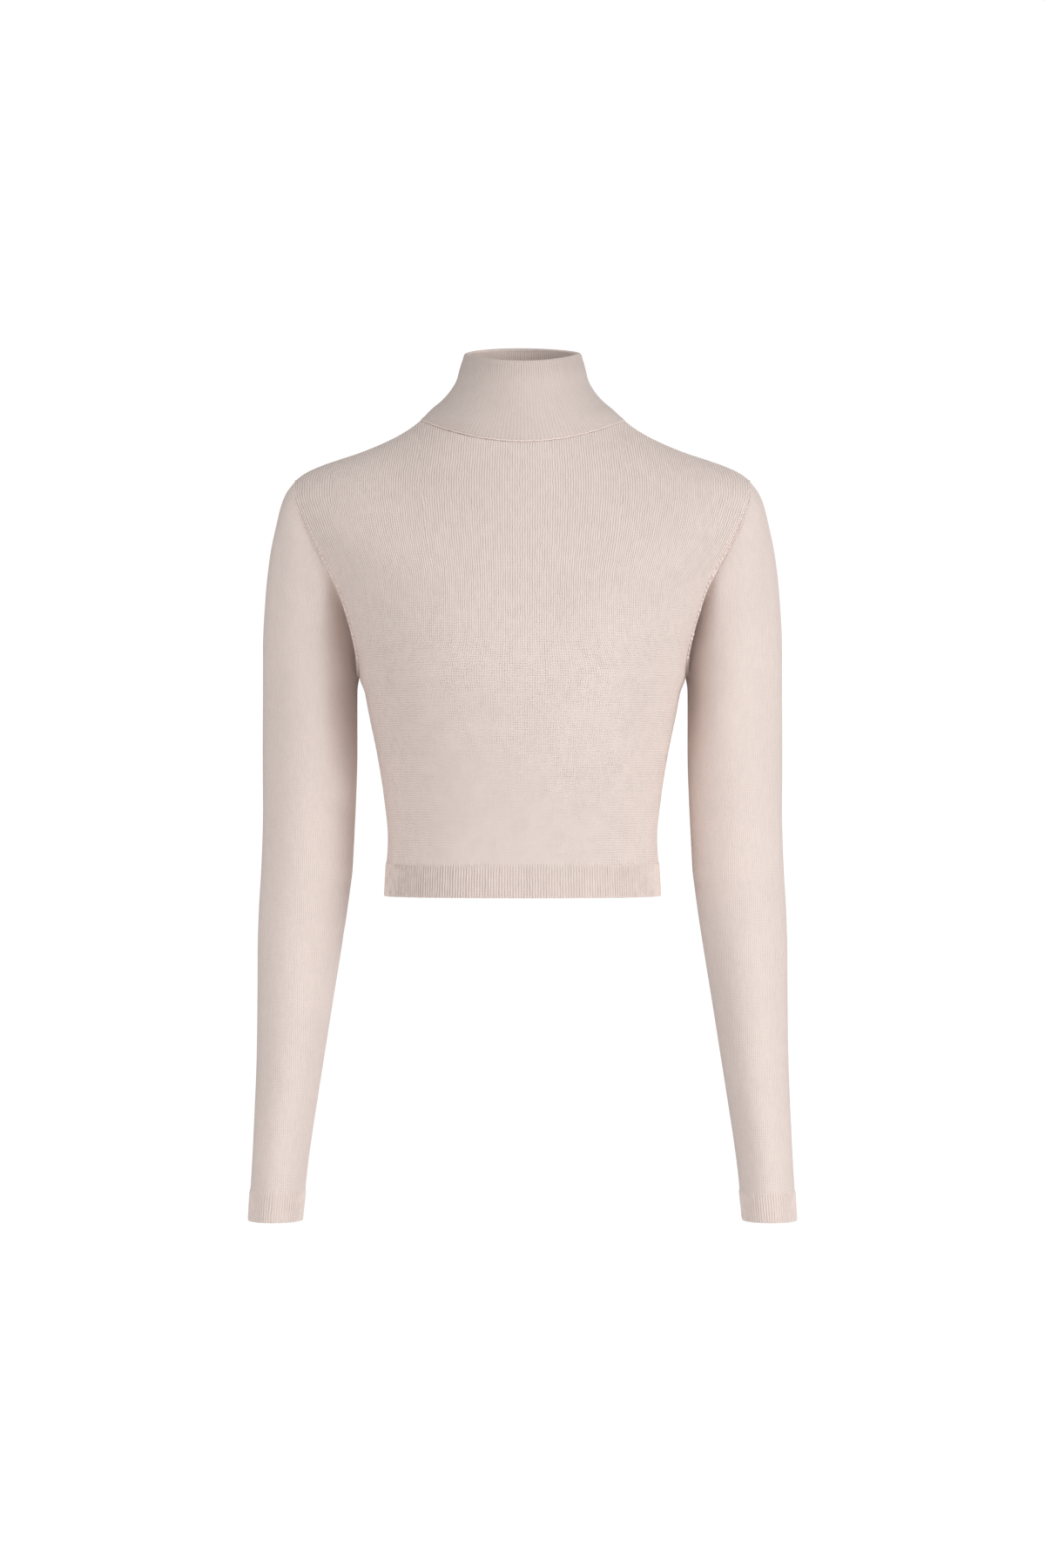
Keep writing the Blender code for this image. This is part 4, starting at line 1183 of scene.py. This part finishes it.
# Two kinds of raised stitches: round loops close to the seam, and short slanted ones in a band inside it.
Loops = namedtuple("Loops", "pitch inset length width height slant top bottom")
ARMHOLE_LOOPS = (
    Loops(4.2, 1.7, 1.90, 1.25, 1.30, 0.35, -108.0, -193.0),
    Loops(2.1, 3.8, 2.60, 0.62, 0.55, 1.2, -84.0, -128.0),
    Loops(2.6, 2.4, 1.40, 0.55, 0.45, 1.2, -54.0, -84.0),
)


def make_loops(side):
    """Raised loops along one armhole, front and back, just inside the seam."""
    mesh = bmesh.new()
    mirror = np.array((1.0 if side == "left" else -1.0, 1.0, 1.0))
    for kind, loops in enumerate(ARMHOLE_LOOPS):
        for face, sign in (("front", 1.0), ("back", -1.0)):
            angles = np.linspace(0.05, math.pi - 0.05, 600)
            edge = panel_point(face, 2 - angles / math.pi, sign)
            lengths = run_lengths(edge)
            at = np.arange(2.0, lengths[-1], loops.pitch)
            number = np.arange(len(at)) + 100 * kind + (50 if face == "back" else 0)
            way_up = 2 - np.interp(at + 0.18 * loops.pitch * uneven(number, 12), lengths, angles) / math.pi
            near = panel_point(face, way_up, sign * 0.97)
            step = np.linalg.norm(near - panel_point(face, way_up, sign), axis=1) / 0.03
            inside = sign * (1 - (loops.inset + 0.3 * uneven(number, 13)) / step)
            place = panel_point(face, way_up, inside)
            out = panel_normal(face, way_up, inside)
            along = unit(panel_point(face, way_up + 0.01, inside) - place)
            beside = np.cross(out, along)
            size = (1.0 if side == "left" else 0.75) + 0.22 * uneven(number, 17)
            slant = sign * loops.slant
            long_way = math.cos(slant) * along + math.sin(slant) * beside
            cross_way = math.cos(slant) * beside - math.sin(slant) * along
            for i in np.flatnonzero((place[:, 2] < loops.top) & (place[:, 2] > loops.bottom)):
                made = bmesh.ops.create_uvsphere(mesh, u_segments=8, v_segments=6, radius=float(size[i]))
                for vert in made["verts"]:
                    a, b, c = vert.co
                    point = place[i] + loops.length * a * long_way[i] + loops.width * b * cross_way[i]
                    vert.co = (point + loops.height * c * out[i]) * mirror * MM
    data = bpy.data.meshes.new(f"armhole_loops_{side}")
    mesh.to_mesh(data)
    mesh.free()
    piece = finish_mesh(f"armhole_loops_{side}", data, linking_yarn)


for side in ("left", "right"):
    make_loops(side)


# ---------------------------------------------------------------------------------------------------------
# Floor and light
# A plain pale floor well below the sweater, which hangs free. The light is soft, from large round lamps, and
# is brightest from the sweater's left front.
FLOOR_HEIGHT = -1.35
FLOOR_RADIUS = 2.2

floor_mesh = bmesh.new()
bmesh.ops.create_circle(floor_mesh, cap_ends=True, radius=FLOOR_RADIUS, segments=96)
floor_data = bpy.data.meshes.new("floor")
floor_mesh.to_mesh(floor_data)
floor_mesh.free()
floor = bpy.data.objects.new("floor", floor_data)
floor.location = (0.0, 0.0, FLOOR_HEIGHT)
bpy.context.scene.collection.objects.link(floor)
floor_material, _, floor_shader = new_material("floor")
floor_shader.inputs["Base Color"].default_value = (0.86, 0.85, 0.84, 1.0)
floor_shader.inputs["Roughness"].default_value = 0.9
floor_data.materials.append(floor_material)

Lamp = namedtuple("Lamp", "name place size watts")
LAMPS = (
    Lamp("key", (2.9, -1.67, 0.30), 2.0, 43.0),
    Lamp("key_inner", (2.3, -2.4, 0.32), 2.0, 41.0),
    Lamp("fill", (-2.4, -2.4, -0.02), 2.0, 50.0),
    Lamp("high_left", (-1.39, -0.37, 2.78), 2.0, 19.0),
    Lamp("high_right", (1.39, -0.37, 2.78), 2.0, 6.0),
    Lamp("top", (0.0, -1.44, 2.78), 2.0, 5.0),
    Lamp("back", (0.5, 3.3, 0.5), 2.4, 60.0),
)
AIM = Vector((0.0, 0.0, -0.3))
for lamp in LAMPS:
    light = bpy.data.lights.new(lamp.name, "AREA")
    light.shape = "DISK"
    light.size = lamp.size
    light.energy = lamp.watts
    light_object = bpy.data.objects.new(lamp.name, light)
    light_object.location = lamp.place
    light_object.rotation_euler = (AIM - Vector(lamp.place)).to_track_quat("-Z", "Y").to_euler()
    bpy.context.scene.collection.objects.link(light_object)

# The room is white to look at, and lights the sweater gently from all round.
ROOM_SEEN = 0.86
ROOM_LIGHT = 0.17
world = bpy.data.worlds.new("studio")
bpy.context.scene.world = world
world.use_nodes = True
world_make = NodeMaker(world.node_tree)
backdrop = world.node_tree.nodes["Background"]
backdrop.inputs[0].default_value = (1.0, 1.0, 1.0, 1.0)
seen = world_make.node("ShaderNodeLightPath").outputs["Is Camera Ray"]
world_make.plug(world_make.scaled(seen, ROOM_SEEN, ROOM_LIGHT), backdrop.inputs[1])
bpy.context.scene.view_settings.view_transform = "Standard"
